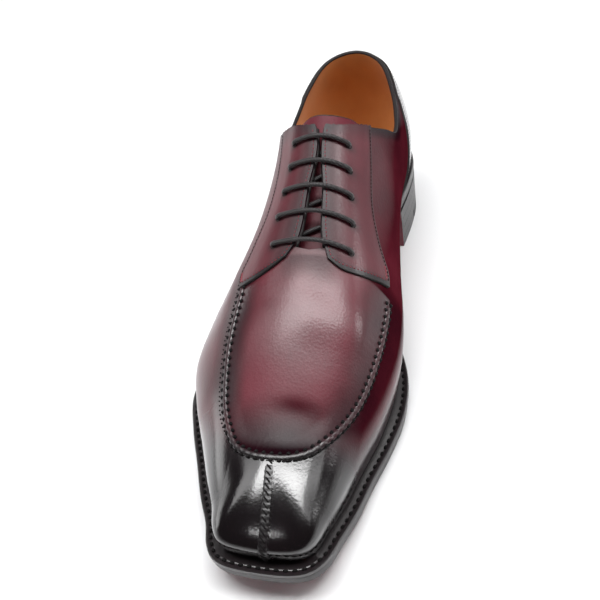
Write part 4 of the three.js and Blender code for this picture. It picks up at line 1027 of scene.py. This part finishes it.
# Tongue: the vamp's calf carried up under the facings and lined, sewn in at the throat, with a rounded top
# that stands clear of the facings.
TONGUE_THICKNESS, LACE_DIAMETER, TONGUE_COLUMNS, TONGUE_ROWS, EDGE_RINGS = 2, 2.2, 61, 90, 5
LACE_ROOM, UNDER_WALL = LACE_DIAMETER + 2 * GAP, WALL + GAP
sunk = smooth((0, .54, .6, .64, 1), (1, 1, .33, 0, 0), LAST_LENGTH, LACE_ROOM, True)
tongue_half = smooth((.318, .335, .45, .55, .63, .64), (.21, .235, .24, .23, .17, .13), LAST_LENGTH,
                     BALL_WIDTH)
a, b = np.linspace(-1, 1, TONGUE_COLUMNS)[None], np.linspace(0, 1, TONGUE_ROWS)[:, None]
u = (.342 - .014 * a - .03 * np.abs(a) ** 1.8 + .03 * np.abs(a) ** 6) * LAST_LENGTH
u = u + (.638 * LAST_LENGTH - u) * b
x = crest_shift(u) + 4 * ramp(b, 0.4, 0) + a * (tongue_half(u) + 1.5 * ramp(b, 0.4, 0))
base, ups = (grid.reshape(u.shape + (3,)) for grid in on_last(np.stack([u.ravel(), x.ravel()], -1)))
depth = (UNDER_WALL + sunk(u))[..., None]
top, under = base - ups * depth, base - ups * (depth + TONGUE_THICKNESS)
number = np.arange(top[..., 0].size).reshape(u.shape)
border = np.concatenate([number[0], number[1:, -1], number[-1, -2::-1], number[-2:0:-1, 0]])
i, j = np.divmod(border, TONGUE_COLUMNS)
edge, edge_up = top[i, j], ups[i, j]
away = unit(edge - top[np.clip(i, 1, TONGUE_ROWS - 2), np.clip(j, 1, TONGUE_COLUMNS - 2)])
rim = [edge - edge_up * TONGUE_THICKNESS * (1 - np.cos(t)) / 2 + away * 0.9 * np.sin(t)
       for t in np.linspace(0, np.pi, EDGE_RINGS + 2)[1:-1]]
points = np.concatenate([top.reshape(-1, 3), under.reshape(-1, 3)] + rim)
sheet = ladder(TONGUE_ROWS, TONGUE_COLUMNS)
rim_numbers = 2 * number.size + np.arange(EDGE_RINGS * len(border)).reshape(EDGE_RINGS, -1)
layers = np.concatenate([[border], rim_numbers, [border + number.size]])
walls = ladder(len(layers), len(border), wrap=True)
faces = np.concatenate([sheet[:, ::-1], sheet + number.size, layers.ravel()[walls]])
slots = np.repeat([0, 2, 1], [len(sheet), len(sheet), len(walls)])
wax = np.concatenate([np.tile((0.1 + 0.2 * ramp(b, 0.1, 0.3) + 0 * a).ravel(), 2),
                      np.full(EDGE_RINGS * len(border), 0.8)])
make_piece("tongue_with_lining", points, faces, [calf, edge_ink, tan_leather], slots, replaces=["tongue"],
           slot="upper_leather", facts={"wax": wax, "polish": np.full(len(wax), 0.1)})

# Lace: one round waxed cotton cord, 2.2 mm through, 0.44 m of it in the shoe. It crosses in five bars and
# climbs beneath between them, and both ends stop unseen behind the top eyelets.
# Waxed cotton: a tight black braid whose slanting plies, 1.5 mm apart along the cord, catch a grey sheen.
# The plies' crests are also coloured a lighter grey: a painted sheen on top of the shader's own.
lace_cotton = grained("waxed cotton braid", ("#0d0b0c", "#221d1f"), "ShaderNodeTexWave", 420.0,
                      (0.45, 0.0003), {"Roughness": 0.5, "IOR": 1.45, "Sheen Weight": 0.15},
                      more={"Distortion": 1.0},
                      settings={"wave_type": "BANDS", "bands_direction": "DIAGONAL"})
CORD_SIDES, CORD_STEPS = 10, 900
OVER, BENEATH = GAP + OVERLAY + GAP + LACE_DIAMETER / 2, -UNDER_WALL - LACE_DIAMETER / 2
inner_holes, outer_holes = (off_crest([(u, side * off) for u, off in EYELETS]) for side in (1, -1))


def crossing(start, end, shares, offs):
    """Points over or under the last between two holes."""
    return on_last([start + (end - start) * t for t in shares], offs)[0]


route = [on_last([(u - LACE_DIAMETER, x + 2 * LACE_DIAMETER) for u, x in inner_holes[::-1]], BENEATH)[0]]
for i in range(len(EYELETS)):
    turn = LACE_DIAMETER / np.linalg.norm(outer_holes[i] - inner_holes[i]) / 2
    bar_shares = [0, 0, 0, turn] + [k / 8 for k in range(1, 8)] + [1 - turn, 1, 1, 1]
    bar_offs = [BENEATH, 0, OVER - LACE_DIAMETER / 2] + [OVER] * 9 + [OVER - LACE_DIAMETER / 2, 0, BENEATH]
    route.append(crossing(inner_holes[i], outer_holes[i], bar_shares, bar_offs))
    if i + 1 < len(EYELETS):
        route.append(crossing(outer_holes[i], inner_holes[i + 1], (0.15, 0.35, 0.5, 0.65, 0.85), BENEATH))
route = round_line(np.concatenate(route), CORD_STEPS)
ahead = unit(np.gradient(route, axis=0))
aside = np.empty_like(route)
aside[0] = np.cross(ahead[0], (0, 0, 1.0))
for k in range(1, len(route)):
    aside[k] = unit(aside[k - 1] - ahead[k] * (aside[k - 1] @ ahead[k]))
turn = np.arange(CORD_SIDES)[None, :, None] * 2 * np.pi / CORD_SIDES
tube = route[:, None] + LACE_DIAMETER / 2 * (np.cos(turn) * aside[:, None]
                                             + np.sin(turn) * np.cross(ahead, aside)[:, None])
faces = ladder(len(route), CORD_SIDES, wrap=True).tolist()
faces += [list(range(CORD_SIDES))[::-1], [CORD_SIDES * (len(route) - 1) + j for j in range(CORD_SIDES)]]
make_piece("waxed_lace", tube, faces, [lace_cotton], replaces=["lace"], slot="lace")

# Floor, lamps and camera: a white paper sweep, two soft lamps overhead, a thin tube far ahead, a softbox at
# each side and a weak diffuse sun. The camera stands where the photographer's stood, aimed at this one shoe.
# The surroundings are bright only near the floor, so that the lamps make the shine on the upper.
FLOOR_HALF, GLOW_LOW, GLOW_HIGH = 1.6, 1.0, 0.06
# Paper: matt white a shade under full, with no grain at this distance.
paper = plain("white paper sweep", "#e3e3e4", {"Roughness": 0.85, "IOR": 1.3})
sweep = bpy.data.meshes.new("sweep")
corners = [(x * FLOOR_HALF, y * FLOOR_HALF, 0) for x, y in ((-1, -1), (1, -1), (1, 1), (-1, 1))]
sweep.from_pydata(corners, [], [(0, 1, 2, 3)])
sweep.materials.append(paper)
floor = put("floor", sweep)

world = bpy.data.worlds.new("studio")
bpy.context.scene.world = world
bpy.context.scene.view_settings.view_transform = "Standard"
world.use_nodes = True
tree = world.node_tree
sight = add_node(tree, "ShaderNodeTexCoord")
sight = add_node(tree, "ShaderNodeSeparateXYZ", {"Vector": (sight, "Generated")})
glow = add_node(tree, "ShaderNodeMapRange", {"Value": (sight, "Z"), "From Min": 0.05, "From Max": 0.3,
                                             "To Min": GLOW_LOW, "To Max": GLOW_HIGH})
add_node(tree, tree.nodes["Background"], {"Color": (1, 1, 1, 1), "Strength": (glow, "Result")})
sun = bpy.data.lights.new("diffused ceiling", "SUN")
sun.energy, sun.angle = 0.6, 1.2
above = put("diffused ceiling", sun)
above.rotation_euler = Vector((0, -0.5, -0.87)).to_track_quat("-Z", "Y").to_euler()

# Lamps: name, where it stands, what it faces, its size in metres, its watts and its turn.
for name, spot, aim, size, power, turn in (
        ("overhead", (0.06, -0.1, 1.2), (0.06, -0.1, 0), (1.5, 0.4), 18.0, 0.2),
        ("ceiling", (0.0, -0.05, 1.25), (0.0, -0.05, 0), (3.0, 0.5), 12.0, 0.1),
        ("far tube", (-0.42, -1.0, 1.42), (-0.42, -0.26, 0.03), (0.7, 0.01), 1.0, 0.0),
        ("right window", (0.95, 0.1, 0.5), (0, -0.1, 0.05), (0.14, 0.26), 1.7, 0.0),
        ("left panel", (-1.1, 0.1, 0.25), (0, -0.1, 0.05), (1.0, 0.3), 1.8, 0.0)):
    lamp = bpy.data.lights.new(name, "AREA")
    lamp.shape = "RECTANGLE"
    lamp.size, lamp.size_y = size
    lamp.energy = power
    held = put(name, lamp)
    held.location = spot
    toward = (Vector(aim) - Vector(spot)).to_track_quat("-Z", "Y")
    held.rotation_euler = (toward @ Quaternion((0, 0, 1), turn)).to_euler()

# The camera's numbers come from fitting the shoe's outline to the photo's.
lens = bpy.data.cameras.new("camera")
lens.sensor_width, lens.lens, lens.clip_start = 36, 49.5, 0.01
camera = put("camera", lens)
camera.location = (0.117487, -0.404987, 0.336616)
aim = Vector((-0.0055, -0.1255, 0.043)) - camera.location
camera.rotation_euler = (aim.to_track_quat("-Z", "Y") @ Quaternion((0, 0, 1), -0.2476)).to_euler()
bpy.context.scene.camera = camera
